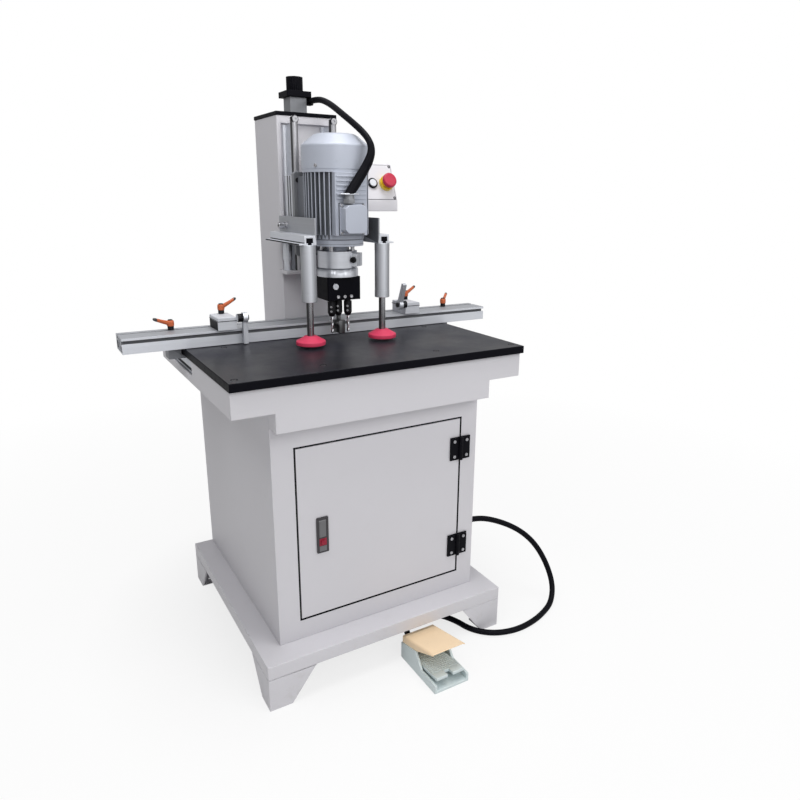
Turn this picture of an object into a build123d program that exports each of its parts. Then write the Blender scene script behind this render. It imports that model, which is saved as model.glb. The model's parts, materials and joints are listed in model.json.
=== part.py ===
from build123d import *
import os
from math import cos, degrees, hypot, pi, radians, sin, tan, atan2

os.makedirs("parts", exist_ok=True)

# Clearances
running_clearance = 0.05
slide_clearance = 0.3
screw_clearance = 0.25

# Plinth with four corner feet
base_width = 710
base_depth = 706
base_top = 128
skirt_height = 37
base_sheet = 4
foot_run = 128
foot_toe = 60
foot_sheet = 6
anchor_radius = 6.5
seam_height = 1.5
seam_depth = 1
base_side = base_width / 2
base_front = -base_depth / 2
base_rear = base_depth / 2
skirt_bottom = base_top - skirt_height

# Cabinet
cabinet_width = 596
cabinet_height = 637
cabinet_sheet = 3
cabinet_front_setback = 67
cabinet_rear_setback = 3
cabinet_side = cabinet_width / 2
cabinet_front = base_front + cabinet_front_setback
cabinet_rear = base_rear - cabinet_rear_setback
cabinet_top = base_top + cabinet_height

# Door, a folded pan set flush in the cabinet front
door_width = 478
door_height = 466
door_shift = 3
door_rise = 58.5
door_gap = 1.5
door_depth = 18
door_sheet = 2
door_left = door_shift - door_width / 2
door_right = door_shift + door_width / 2
door_bottom = base_top + door_rise
door_top = door_bottom + door_height

# Hinges on the door's right edge
hinge_height = 66
hinge_inset = 85
leaf_width = 32
leaf_thickness = 5
barrel_radius = 6
barrel_standoff = 0.4
knuckle_gap = 0.4
hinge_pin_radius = 2.5
leaf_screw_offset = 20
leaf_screw_spread = 44
screw_head_radius = 4.5
screw_head_height = 2.5
screw_radius = 2.25
screw_length = 14
hinge_x = door_right + door_gap / 2
hinge_y = cabinet_front - barrel_radius - barrel_standoff
hinge_levels = (door_bottom + hinge_inset, door_top - hinge_inset)

# Latch on the door
latch_width = 32
latch_height = 98
latch_inset = 63
latch_rise = 176
latch_proud = 4
latch_body_depth = 24
latch_rim = 3
latch_wall = 3
lever_rise = 43
lever_margin = 11
lever_radius = 4
lever_side_gap = 0.5
latch_pin_radius = 2
latch_pin_length = 2
latch_pocket_depth = 12
latch_button_radius = 6
latch_button_rise = 30
latch_button_length = 16
latch_x = door_left + latch_inset
latch_bottom = door_bottom + latch_rise
latch_top = latch_bottom + latch_height
latch_face = cabinet_front - latch_proud
latch_body_half = latch_width / 2 - latch_rim
latch_pivot_z = latch_top - lever_margin
latch_button_z = latch_bottom + latch_button_rise

# Table frame and table plate
table_width = 800
table_side_overhang = 3
frame_height = 65
frame_sheet = 4
frame_reach = 50
apron_height = 49
trough_width = 47
trough_front = -5
trough_lip = 23
table_overhang = 11
table_thickness = 20
table_rear = 138
table_edge = 1.5
table_side = table_width / 2
frame_side = table_side - table_side_overhang
frame_front = cabinet_front - frame_reach
frame_bottom = cabinet_top
deck_top = frame_bottom + frame_height
trough_inner = frame_side - trough_width
table_front = frame_front - table_overhang
table_top_z = deck_top + table_thickness

# Countersunk table screws
table_screw_radius = 4
table_screw_head = 8
table_screw_cone = 4
table_screw_length = 32
table_screw_corner_setin = 21
table_screw_corner_inset = 30
table_screw_inner_x = 158
table_screw_inner_inset = 60
table_screw_rear_setin = 93
table_screw_rear_y = 9

# Fence rails, carriers and fence extrusion
rail_width = 37
rail_height = 50
rail_margin = 3
rail_groove_width = 7
rail_groove_depth = 9
rail_groove_pitch = 18
fence_length = 1098
fence_front = 33
fence_depth = 85
fence_height = 40
fence_lift = 1.5
fence_wall = 4
slot_mouth = 8
slot_lip = 3.5
slot_cavity = 15
slot_cavity_depth = 7
front_slot_rise = 29.5
top_slot_setback = 62
fence_web_front = 17
fence_web_rear = 49
carrier_edge_gap = 2
carrier_width = 32
carrier_foot_inset = 5
carrier_foot_gap = 1.5
carrier_setback = 37
carrier_depth = 42
fence_bottom = table_top_z + fence_lift
fence_top = fence_bottom + fence_height
fence_rear = fence_front + fence_depth
top_slot_y = fence_front + top_slot_setback
rail_top = frame_bottom + frame_sheet + rail_height
rail_x = trough_inner + rail_margin + rail_width / 2

# Stops on the fence
stop_inner_left = 265
stop_inner_right = 247
stop_width = 50
stop_overhang = 13
stop_tail = 4
stop_height = 33
stop_tongue = 7.4
stop_foot = 14.4
stop_foot_height = 6
stop_edge = 3
stop_spacer_radius = 11
stop_spacer_length = 14
stop_arm_thickness = 12
stop_hub_radius = 14
stop_arm_width = 12
stop_arm_length = 69
stop_pin_radius = 4
stop_pin_head = 7
stop_pin_head_length = 4
stop_pivot_drop = 3
stop_pivot_reach = 14
stop_lean = 22
stop_bottom = fence_top + slide_clearance
stop_top = stop_bottom + stop_height
stop_front = fence_front - stop_overhang
stop_rear = top_slot_y + stop_tail
stop_pivot_y = fence_front - stop_pivot_reach
stop_pivot_z = stop_top - stop_pivot_drop

# Clamp levers
lever_base_radius = 9
lever_base_height = 10
lever_hub_radius = 10
lever_hub_height = 15
lever_cap_radius = 6
lever_cap_height = 3
lever_reach = 56
lever_root_width = 13
lever_tip_width = 10
lever_thickness = 9
lever_climb = 24
lever_stud_radius = 3.5
lever_stud_length = 10.2
lever_foot_radius = 6.5
lever_foot_height = 5
fence_lever_left_x = -418
fence_lever_right_x = 432
stop_lever_x = 286
stop_lever_back = 7
fence_lever_left_heading = 208
fence_lever_right_heading = 45
stop_lever_heading = 25

# Column
column_width = 175
column_front = 142
column_depth = 178
column_height = 606
column_wall = 6
column_floor = 6
recess_flange = 12
recess_top_strip = 20
recess_depth = 10
window_half = 28
window_bottom_drop = 15
cap_thickness = 10
cap_overhang = 1.5
ledge_half = 98
ledge_reach = 57
ledge_thickness = 10
column_side = column_width / 2
column_rear = column_front + column_depth
column_top = deck_top + column_height
recess_floor = column_front + recess_depth
recess_top = column_top - recess_top_strip

# Guide shafts on supports, with buffers beside them
shaft_radius = 10
shaft_x = 56
shaft_standoff = 45
shaft_length = 403
shaft_top_drop = 4
shaft_end_radius = 6
shaft_end_height = 4
support_foot_width = 26
support_foot_thickness = 6
support_web = 8
support_length = 383
buffer_x = 83
buffer_setback = 32
buffer_post_radius = 11
buffer_post_height = 28
buffer_radius = 13
buffer_height = 46
shaft_y = column_front - shaft_standoff
shaft_top = column_top - shaft_top_drop
ledge_top = shaft_top - shaft_length
buffer_y = column_front - buffer_setback

# Boring head, stacked from the cutter tip upwards
spindle_y = -37
tip_gap = 20
cutter_height = 34
cutter_radius = 17.5
cutter_shank = 6
cutter_shank_length = 14
cutter_point = 2
chuck_length = 39
chuck_gap = 7
gearbox_height = 61
gearbox_width = 96
gearbox_front_reach = 42
gearbox_rear_reach = 40
gearbox_wall = 6
gearbox_floor = 16
gearbox_roof = 15
gearbox_edge = 5
gearbox_plug_x = 26
ring_height = 20
ring_radius = 55
ring_seat = 3
ring_seat_radius = 40
ring_bore = 14
collar_height = 43
collar_radius = 52.5
collar_bore = 34
collar_slit = 4
collar_lug_width = 18
collar_lug_reach = 24
collar_lug_height = 34
collar_lug_hole = 5
collar_heading = -50
standoff_height = 14
standoff_radius = 6
standoff_circle = 43
flange_height = 18
flange_radius = 70
lip_height = 11
lip_radius = 72
motor_length = 160
cutter_tip = table_top_z + tip_gap
chuck_bottom = cutter_tip + cutter_height + cutter_shank_length
chuck_top = chuck_bottom + chuck_length
gearbox_bottom = chuck_top + chuck_gap
gearbox_top = gearbox_bottom + gearbox_height
ring_top = gearbox_top + ring_height
collar_bottom = ring_top + ring_seat
collar_top = collar_bottom + collar_height
flange_bottom = collar_top + standoff_height
flange_top = flange_bottom + flange_height
motor_bottom = flange_top + lip_height
motor_top = motor_bottom + motor_length

# Motor
motor_core = 72
fin_radius = 84
fin_thickness = 3
fin_count = 40
shield_radius = 86
shield_height = 8
spigot_radius = 28
spigot_bore = 20
rotor_radius = 44
rotor_gap = 0.5
rotor_margin = 16
motor_shaft_radius = 12
motor_foot_plane = 53
motor_foot_inner = 40
motor_foot_outer = 70
motor_foot_root = 10
motor_foot_margin = 16
terminal_half = 44
terminal_reach = 89
terminal_root = 40
lid_half = 34
lid_depth = 30
lid_rise = 2
lid_height = 76
lid_chamfer = 7
terminal_front = spindle_y - terminal_reach
lid_bottom = motor_bottom + lid_rise
lid_top = lid_bottom + lid_height
lid_front = terminal_front - lid_depth

# Fan and fan cover
cover_radius = 87
cover_height = 86
cover_shoulder_rise = 28
cover_shoulder_run = 35
cover_wall_edge = 8
cover_crown_edge = 24
cover_sheet = 2
cover_slot_count = 24
cover_slot_length = 26
cover_slot_width = 4
cover_slot_radius = 31
fan_radius = 74
fan_hub_radius = 22
fan_blades = 8
fan_blade_thickness = 3
fan_lift = 12
fan_height = 34
cover_top = motor_top + cover_height

# Conduit gland and boot on the terminal lid
gland_x = -12
gland_setback = 16
gland_nut_radius = 15
gland_nut_height = 11
gland_neck_radius = 12
gland_neck_height = 12
boot_root_radius = 13
gland_y = lid_front + gland_setback
gland_top = lid_top + gland_nut_height + gland_neck_height

# Spindles, chucks and gears
side_spindle_x = 24
side_spindle_forward = 9.5
spindle_radius = 8
centre_spindle_radius = 10
journal_radius = 6
journal_length = 7.7
journal_depth = 8
chuck_radius = 11
chuck_nose_radius = 7
chuck_nose_length = 9
drill_radius = 4
drill_point = 4
drill_tip_rise = 1
gear_teeth = 12
gear_height = 18
gear_lift = 5
gear_addendum = 1.3
gear_dedendum = 1.8
tooth_share = 0.34
gear_pitch_radius = hypot(side_spindle_x, side_spindle_forward) / 2
gear_root_radius = gear_pitch_radius - gear_dedendum
gear_tip_radius = gear_pitch_radius + gear_addendum
gear_tooth = tooth_share * 2 * pi * gear_pitch_radius / gear_teeth
side_spindle_y = spindle_y - side_spindle_forward
gear_bottom = gearbox_bottom + gearbox_floor + gear_lift
gear_pitch_angle = 360 / gear_teeth

# Saddle and bearing blocks
saddle_half = 80
saddle_thickness = 15
saddle_drop = 25
saddle_bottom_rise = 37
block_width = 46
block_depth = 47
block_height = 105
block_drop = 13
saddle_rise = 9
block_groove_count = 2
block_groove_width = 9
block_groove_depth = 7
web_clearance = 2
saddle_rear = motor_foot_plane + saddle_thickness
saddle_bottom = collar_bottom + saddle_bottom_rise - saddle_drop / 2
block_top = motor_top - block_drop
saddle_top = block_top + saddle_rise
block_bottom = block_top - block_height
block_rear = saddle_rear + block_depth

# Feed cylinder, its flange and knob, and the rod inside
feed_size = 50
feed_y = 222
feed_above_cap = 46
feed_length = 302
feed_bore = 20
feed_end = 12
feed_rod_radius = 8
feed_piston_height = 20
feed_piston_gap = 3
feed_flange_size = 72
feed_flange_height = 15
knob_radius = 23
knob_height = 38
knob_flutes = 24
knob_flute_radius = 2
knob_stud_radius = 6
knob_rim = 3
bracket_half = 20
bracket_height = 20
bracket_tail = 16
bracket_rise = 5
feed_top = column_top + cap_thickness + feed_above_cap
feed_bottom = feed_top - feed_length
feed_flange_top = feed_top + feed_flange_height
bracket_bottom = saddle_bottom + bracket_rise
bracket_top = bracket_bottom + bracket_height

# Hold-down arms, cylinders, rods and pads
hold_x = 106
hold_y = -92
pad_gap = 7
pad_radius = 38.5
pad_rim = 9
pad_height = 23
pad_crown = 16
hold_rod_radius = 9
hold_rod_length = 88
hold_cylinder_length = 143
hold_cylinder_radius = 20
hold_bore = 16
hold_cap = 20
hold_piston_height = 15
hold_piston_gap = 1
hold_cap_groove = 1.5
hold_cap_groove_width = 3
hold_stud_radius = 4.5
hold_stud_head = 16
hold_stud_height = 8
arm_plate = 4.5
arm_plate_height = 65
arm_base_width = 28
arm_base_height = 23
arm_flange_width = 14
arm_flange_height = 4
arm_front_reach = 13
arm_slot_mouth = 10
arm_slot_lip = 5
arm_slot_cavity = 18
arm_slot_height = 12
lug_thickness = 10
lug_reach = 66
lug_rise = 5
lug_height = 56
arm_bolt_y = 90
arm_bolt_rise = 41
arm_bolt_radius = 5
arm_bolt_head = 8.5
arm_bolt_head_length = 20
arm_bolt_washer = 11
arm_bolt_washer_height = 2
pad_bottom = table_top_z + pad_gap
pad_top = pad_bottom + pad_height
hold_cylinder_bottom = pad_top + hold_rod_length
arm_bottom = hold_cylinder_bottom + hold_cylinder_length
arm_inner = column_side
arm_front = hold_y - arm_front_reach
arm_rear = column_front

# Control box with a sloping panel
box_width = 177
box_sheet = 2
box_front_reach = 42
box_rear_reach = 73
box_slope_run = 43
box_front_height = 29
box_height = 134
box_top_drop = 114
e_stop_inset = 30
start_inset = 75
button_share = 0.46
e_stop_collar_radius = 22
e_stop_collar_height = 12
e_stop_stem_radius = 9
e_stop_neck = 20
e_stop_radius = 20
e_stop_cap = 13
e_stop_crown = 4
start_ring_radius = 15
start_ring_height = 6
start_radius = 11
start_proud = 9
button_inside = 8
panel_screw_inset = 9
panel_screw_radius = 2
panel_screw_head = 4
panel_screw_head_height = 1.5
panel_screw_length = 8
box_left = column_side
box_right = box_left + box_width
box_front = column_front - box_front_reach
box_rear = column_front + box_rear_reach
box_top = column_top - box_top_drop
box_bottom = box_top - box_height
slope_foot = box_bottom + box_front_height
slope_rise = box_top - slope_foot
slope_length = hypot(box_slope_run, slope_rise)

# Foot pedal
pedal_x = 85
pedal_width = 106
pedal_front = -508
pedal_length = 173
pedal_plate = 8
pedal_rail_height = 25
pedal_rail = 7
pedal_rear_block = 30
pedal_rear_height = 48
pedal_cheek_length = 74
pedal_cheek_run = 30
pedal_pin_radius = 4
pedal_pin_setback = 48
pedal_pin_height = 22
treadle_thickness = 9
treadle_side_gap = 3
treadle_front_margin = 8
treadle_front_rise = 12
treadle_eye_radius = 8
treadle_notch_width = 16
treadle_notch_depth = 20
guard_sheet = 3
guard_inset = 2
guard_front_setback = 18
guard_rear_margin = 4
guard_side = 22
guard_slope = 13.8
guard_skirt = 5
guard_edge = 6
pedal_left = pedal_x - pedal_width / 2
pedal_right = pedal_x + pedal_width / 2
pedal_rear = pedal_front + pedal_length
pedal_pin_y = pedal_rear - pedal_pin_setback
guard_front = pedal_front + guard_front_setback
guard_rear = pedal_rear - guard_rear_margin
cheek_front = pedal_rear - pedal_cheek_length
guard_run = (guard_rear - guard_front) / cos(radians(guard_slope))
guard_way = (0, -cos(radians(guard_slope)), sin(radians(guard_slope)))

# Pedal hose and motor conduit
hose_radius = 8.5
conduit_radius = 8
bend_share = 0.45
hose_exit_y = -215
hose_exit_z = 291
hose_floor = hose_radius + 1
hose_gland_length = 24
hose_gland_radius = 14
hose_nut_length = 10
pedal_gland_length = 15
pedal_gland_radius = 11
pedal_hose_z = 14
conduit_end_x = 36
conduit_end_y = 200
conduit_socket_length = 22
hose_start = (cabinet_side + hose_gland_length, hose_exit_y, hose_exit_z)
hose_end = (pedal_x, pedal_rear + pedal_gland_length, pedal_hose_z)
hose_points = (
    hose_start,
    (368, hose_exit_y, hose_exit_z),
    (432, -232, 273),
    (500, -256, 237),
    (552, -278, 186),
    (585, -303, 119),
    (591, -335, 55),
    (560, -366, 17),
    (506, -390, 10),
    (441, -409, hose_floor),
    (373, -413, hose_floor),
    (308, -392, hose_floor),
    (264, -345, hose_floor),
    (250, -285, hose_floor),
    (222, -234, hose_floor),
    (173, -211, hose_floor),
    (119, -225, hose_floor),
    (pedal_x, -271, pedal_hose_z),
    hose_end,
)
conduit_start_x = 9
conduit_start_rise = 28
conduit_start_z = gland_top + conduit_start_rise
conduit_end_z = feed_top - conduit_radius
conduit_points = (
    (conduit_start_x, gland_y, conduit_start_z),
    (27, -140, 1288),
    (43, -140, 1318),
    (48, -139, 1347),
    (44, -131, 1374),
    (38, -109, 1396),
    (34, -76, 1418),
    (32, -28, 1442),
    (36, 37, 1462),
    (38, 100, 1477),
    (conduit_end_x, 150, conduit_end_z),
    (conduit_end_x, conduit_end_y, conduit_end_z),
)

# Control gear on a plate at the back of the cabinet
gear_plate_half = 150
gear_plate_bottom = 250
gear_plate_top = 620
gear_plate_sheet = 3
contactor_x = -80
contactor_z = 520
contactor_width = 54
contactor_depth = 78
contactor_height = 86
relay_x = 0
relay_z = 525
relay_width = 44
relay_depth = 60
relay_height = 70
valve_x = 40
valve_z = 350
valve_width = 110
valve_depth = 48
valve_height = 60


# Box between two limits along each axis
def block(x, y, z, mode=Mode.ADD):
    middle = ((x[0] + x[1]) / 2, (y[0] + y[1]) / 2, (z[0] + z[1]) / 2)
    with Locations(middle):
        Box(abs(x[1] - x[0]), abs(y[1] - y[0]), abs(z[1] - z[0]), mode=mode)


# Upright cylinder between two heights
def post(x, y, low, high, radius, mode=Mode.ADD):
    with Locations((x, y, (low + high) / 2)):
        Cylinder(radius, high - low, mode=mode)


# Cylinder lying along Y between two limits
def pin_y(x, z, near, far, radius, mode=Mode.ADD):
    with Locations(Location((x, (near + far) / 2, z), (90, 0, 0))):
        Cylinder(radius, far - near, mode=mode)


# Cylinder lying along X between two limits
def pin_x(y, z, left, right, radius, mode=Mode.ADD):
    with Locations(Location(((left + right) / 2, y, z), (0, 90, 0))):
        Cylinder(radius, abs(right - left), mode=mode)


# Turned body from radius and height pairs about an upright axis
def turned(x, y, profile, mode=Mode.ADD):
    with BuildSketch(Plane(origin=(x, y, 0), x_dir=(1, 0, 0), z_dir=(0, -1, 0))) as section:
        with BuildLine():
            Polyline(*profile, close=True)
        make_face()
    revolve(section.sketch, axis=Axis((x, y, 0), (0, 0, 1)), mode=mode)


# Straight-sided profile in the plane across X, drawn as Y and Z pairs
def profile_x(left, right, points, mode=Mode.ADD):
    with BuildSketch(Plane.YZ.offset(left)) as section:
        with BuildLine():
            Polyline(*points, close=True)
        make_face()
    extrude(section.sketch, amount=right - left, mode=mode)


# Height of the sloping seat between the pedal base and its guard
def guard_seat(y):
    return pedal_rear_height + (pedal_rear - y) * tan(radians(guard_slope))


# Rounded hood section at a place, less an inset, run along the slope
def guard_form(start, inset, mode=Mode.ADD):
    floor = guard_seat(start) - inset
    roof = guard_seat(start) + guard_side - inset / cos(radians(guard_slope))
    with BuildSketch(Plane.XZ.offset(-start)) as section:
        with Locations((pedal_x, (floor + roof) / 2)):
            Rectangle(pedal_width - 2 * guard_inset - 2 * inset, roof - floor)
        fillet(section.vertices().group_by(Axis.Y)[-1], radius=guard_edge - inset)
    extrude(section.sketch, amount=guard_run, dir=guard_way, mode=mode)


# Bend radii of a cord from the shorter run and the turn at each corner
def bend_radii(points):
    radii = []
    for before, here, after in zip(points, points[1:], points[2:]):
        arriving = Vector(*here) - Vector(*before)
        leaving = Vector(*after) - Vector(*here)
        turn = arriving.get_angle(leaving)
        run = min(arriving.length, leaving.length)
        radii.append(bend_share * run / tan(radians(turn / 2)))
    return radii


# Round cord along straight runs and tangent bends
def cord(points, radius):
    radii = bend_radii(points)
    with BuildPart() as piece:
        with BuildLine() as route:
            FilletPolyline(*points, radius=radii)
        run = route.wires()[0]
        with BuildSketch(Plane(origin=run @ 0, z_dir=run % 0)):
            Circle(radius)
        sweep(path=run)
    full_volume = pi * radius * radius * run.length
    print("cord length", round(run.length), "bend radii", [round(bend) for bend in radii])
    print("volume over section times length", round(piece.part.volume / full_volume, 4))
    return piece


# Label and write one finished piece
def write(piece, label):
    piece.part.label = label
    export_step(piece.part, f"parts/{label}.step")


# Label and write pieces that touch but stay separate solids
def write_group(pieces, label):
    group = Compound(label=label, children=[piece.part for piece in pieces])
    export_step(group, f"parts/{label}.step")


# Plinth
with BuildPart() as base_frame:
    block((-base_side, base_side), (base_front, base_rear), (skirt_bottom, base_top))
    inner_side = base_side - base_sheet
    inner_end = base_rear - base_sheet
    block((-inner_side, inner_side), (-inner_end, inner_end),
          (skirt_bottom, base_top - base_sheet), mode=Mode.SUBTRACT)
    with BuildSketch(Plane.XZ.offset(-base_front)):
        with BuildLine():
            Polyline((-base_side, skirt_bottom), (-base_side + foot_run, skirt_bottom),
                     (-base_side + foot_toe, 0), (-base_side, 0), close=True)
        make_face()
    extrude(amount=-foot_sheet)
    with BuildSketch(Plane.YZ.offset(-base_side)):
        with BuildLine():
            Polyline((base_front, skirt_bottom), (base_front + foot_run, skirt_bottom),
                     (base_front + foot_toe, 0), (base_front, 0), close=True)
        make_face()
    extrude(amount=foot_sheet)
    block((-base_side, -base_side + foot_run), (base_front, base_front + foot_sheet),
          (skirt_bottom, base_top - base_sheet))
    block((-base_side, -base_side + foot_sheet), (base_front, base_front + foot_run),
          (skirt_bottom, base_top - base_sheet))
    block((-base_side, -base_side + foot_toe), (base_front, base_front + foot_toe),
          (0, foot_sheet))
    post(-base_side + foot_toe / 2, base_front + foot_toe / 2, 0, foot_sheet,
         anchor_radius, mode=Mode.SUBTRACT)
    seam_z = (skirt_bottom - seam_height, skirt_bottom)
    block((-base_side, -base_side + foot_run), (base_front, base_front + seam_depth), seam_z,
          mode=Mode.SUBTRACT)
    block((-base_side, -base_side + seam_depth), (base_front, base_front + foot_run), seam_z,
          mode=Mode.SUBTRACT)
    mirror(about=Plane.YZ)
    mirror(about=Plane.XZ)
write(base_frame, "base_frame")


# Positions of the hinge screws, on the frame side or the door side
def leaf_screws(side):
    spots = []
    for level in hinge_levels:
        for shift in (-leaf_screw_spread / 2, leaf_screw_spread / 2):
            spots.append((hinge_x + side * leaf_screw_offset, level + shift))
    return spots


# Cabinet
with BuildPart() as cabinet_shell:
    block((-cabinet_side, cabinet_side), (cabinet_front, cabinet_rear), (base_top, cabinet_top))
    block((cabinet_sheet - cabinet_side, cabinet_side - cabinet_sheet),
          (cabinet_front + cabinet_sheet, cabinet_rear - cabinet_sheet),
          (base_top + cabinet_sheet, cabinet_top - cabinet_sheet), mode=Mode.SUBTRACT)
    block((door_left - door_gap, door_right + door_gap),
          (cabinet_front, cabinet_front + cabinet_sheet),
          (door_bottom - door_gap, door_top + door_gap), mode=Mode.SUBTRACT)
    for screw_x, screw_z in leaf_screws(1):
        pin_y(screw_x, screw_z, cabinet_front, cabinet_front + cabinet_sheet,
              screw_radius + screw_clearance, mode=Mode.SUBTRACT)
write(cabinet_shell, "cabinet_shell")

# Door panel
with BuildPart() as door_panel:
    block((door_left, door_right), (cabinet_front, cabinet_front + door_depth),
          (door_bottom, door_top))
    block((door_left + door_sheet, door_right - door_sheet),
          (cabinet_front + door_sheet, cabinet_front + door_depth),
          (door_bottom + door_sheet, door_top - door_sheet), mode=Mode.SUBTRACT)
    block((latch_x - latch_body_half, latch_x + latch_body_half),
          (cabinet_front, cabinet_front + door_sheet),
          (latch_bottom + latch_rim, latch_top - latch_rim), mode=Mode.SUBTRACT)
    for screw_x, screw_z in leaf_screws(-1):
        pin_y(screw_x, screw_z, cabinet_front, cabinet_front + door_sheet,
              screw_radius + screw_clearance, mode=Mode.SUBTRACT)
write(door_panel, "door_panel")


# Hinge leaf with its knuckles, on the frame side or the door side
def hinge_leaf(level, side, knuckles):
    low = level - hinge_height / 2
    plate_z = (low, low + hinge_height)
    leaf_front = cabinet_front - leaf_thickness
    block((hinge_x, hinge_x + side * leaf_width), (leaf_front, cabinet_front), plate_z)
    post(hinge_x, hinge_y, *plate_z, barrel_radius + 2 * knuckle_gap, mode=Mode.SUBTRACT)
    for first, last in knuckles:
        knuckle_z = (low + first * hinge_height + knuckle_gap / 2,
                     low + last * hinge_height - knuckle_gap / 2)
        post(hinge_x, hinge_y, *knuckle_z, barrel_radius)
        block((hinge_x, hinge_x + side * 2 * barrel_radius), (leaf_front, cabinet_front),
              knuckle_z)
    post(hinge_x, hinge_y, *plate_z, hinge_pin_radius + running_clearance, mode=Mode.SUBTRACT)


with BuildPart() as frame_hinge_leaves:
    for hinge_level in hinge_levels:
        hinge_leaf(hinge_level, 1, ((0, 0.3), (0.7, 1)))
    for screw_x, screw_z in leaf_screws(1):
        pin_y(screw_x, screw_z, cabinet_front - leaf_thickness, cabinet_front,
              screw_radius + screw_clearance, mode=Mode.SUBTRACT)
    for hinge_level in hinge_levels:
        post(hinge_x, hinge_y, hinge_level - hinge_height / 2, hinge_level + hinge_height / 2,
             hinge_pin_radius)
write(frame_hinge_leaves, "frame_hinge_leaves")

with BuildPart() as door_hinge_leaves:
    for hinge_level in hinge_levels:
        hinge_leaf(hinge_level, -1, ((0.3, 0.7),))
    for screw_x, screw_z in leaf_screws(-1):
        pin_y(screw_x, screw_z, cabinet_front - leaf_thickness, cabinet_front,
              screw_radius + screw_clearance, mode=Mode.SUBTRACT)
write(door_hinge_leaves, "door_hinge_leaves")


# Pan-head screw through a hinge leaf
def leaf_screw(x, z):
    seat = cabinet_front - leaf_thickness
    pin_y(x, z, seat - screw_head_height, seat, screw_head_radius)
    pin_y(x, z, seat, seat + screw_length, screw_radius)


with BuildPart() as door_screws:
    for screw_x, screw_z in leaf_screws(-1):
        leaf_screw(screw_x, screw_z)
write(door_screws, "door_screws")

# Latch plate with pockets for the lever and the button
lever_half = latch_body_half - latch_wall - lever_side_gap
with BuildPart() as latch_plate:
    block((latch_x - latch_width / 2, latch_x + latch_width / 2),
          (latch_face, cabinet_front), (latch_bottom, latch_top))
    fillet(latch_plate.edges().filter_by(Axis.Y), radius=latch_rim)
    block((latch_x - latch_body_half, latch_x + latch_body_half),
          (cabinet_front, cabinet_front + latch_body_depth),
          (latch_bottom + latch_rim, latch_top - latch_rim))
    block((latch_x - lever_half - lever_side_gap, latch_x + lever_half + lever_side_gap),
          (latch_face, latch_face + latch_pocket_depth),
          (latch_bottom + lever_rise, latch_pivot_z + lever_radius + lever_side_gap),
          mode=Mode.SUBTRACT)
    pin_x(latch_face + lever_radius, latch_pivot_z,
          latch_x - lever_half - lever_side_gap - latch_pin_length - slide_clearance,
          latch_x + lever_half + lever_side_gap + latch_pin_length + slide_clearance,
          latch_pin_radius + running_clearance, mode=Mode.SUBTRACT)
    pin_y(latch_x, latch_button_z, latch_face, cabinet_front + latch_body_depth,
          latch_button_radius + running_clearance, mode=Mode.SUBTRACT)
write(latch_plate, "latch_plate")

with BuildPart() as latch_lever:
    pin_x(latch_face + lever_radius, latch_pivot_z, latch_x - lever_half, latch_x + lever_half,
          lever_radius)
    block((latch_x - lever_half, latch_x + lever_half),
          (latch_face, latch_face + 2 * lever_radius),
          (latch_bottom + lever_rise + lever_side_gap, latch_pivot_z))
    pin_x(latch_face + lever_radius, latch_pivot_z,
          latch_x - lever_half - lever_side_gap - latch_pin_length,
          latch_x + lever_half + lever_side_gap + latch_pin_length, latch_pin_radius)
write(latch_lever, "latch_lever")

with BuildPart() as latch_button:
    pin_y(latch_x, latch_button_z, latch_face - latch_proud,
          latch_face - latch_proud + latch_button_length, latch_button_radius)
    fillet(latch_button.edges().group_by(Axis.Y)[0], radius=1)
write(latch_button, "latch_button")


# Places of the countersunk screws in the table
def table_screws():
    front_y = table_front + table_screw_corner_inset
    inner_y = table_front + table_screw_inner_inset
    spots = []
    for side in (-1, 1):
        spots.append((side * (table_side - table_screw_corner_setin), front_y))
        spots.append((side * table_screw_inner_x, inner_y))
        spots.append((side * (table_side - table_screw_rear_setin), table_screw_rear_y))
    return spots


# Table frame with side troughs for the fence rails
with BuildPart() as table_frame:
    inner_floor = frame_bottom + frame_sheet
    deck_bottom = deck_top - frame_sheet
    block((-frame_side, frame_side), (frame_front, cabinet_rear), (frame_bottom, deck_top))
    block((-cabinet_side, cabinet_side), (frame_front, cabinet_front),
          (frame_bottom - apron_height, frame_bottom))
    block((frame_sheet - frame_side, frame_side - frame_sheet),
          (frame_front + frame_sheet, trough_front - frame_sheet),
          (inner_floor, deck_bottom), mode=Mode.SUBTRACT)
    block((frame_sheet - trough_inner, trough_inner - frame_sheet),
          (trough_front - frame_sheet, cabinet_rear - frame_sheet),
          (inner_floor, deck_bottom), mode=Mode.SUBTRACT)
    block((frame_sheet - cabinet_side, cabinet_side - frame_sheet),
          (frame_front + frame_sheet, cabinet_front - frame_sheet),
          (frame_bottom - apron_height + frame_sheet, inner_floor), mode=Mode.SUBTRACT)
    for side in (-1, 1):
        block((side * trough_inner, side * (frame_side - frame_sheet)),
              (trough_front, cabinet_rear - frame_sheet), (inner_floor, deck_top),
              mode=Mode.SUBTRACT)
        block((side * trough_inner, side * frame_side), (trough_front, cabinet_rear),
              (frame_bottom + trough_lip, deck_top), mode=Mode.SUBTRACT)
    for screw_x, screw_y in table_screws():
        post(screw_x, screw_y, deck_bottom, deck_top, table_screw_radius + screw_clearance,
             mode=Mode.SUBTRACT)
write(table_frame, "table_frame")

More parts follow.
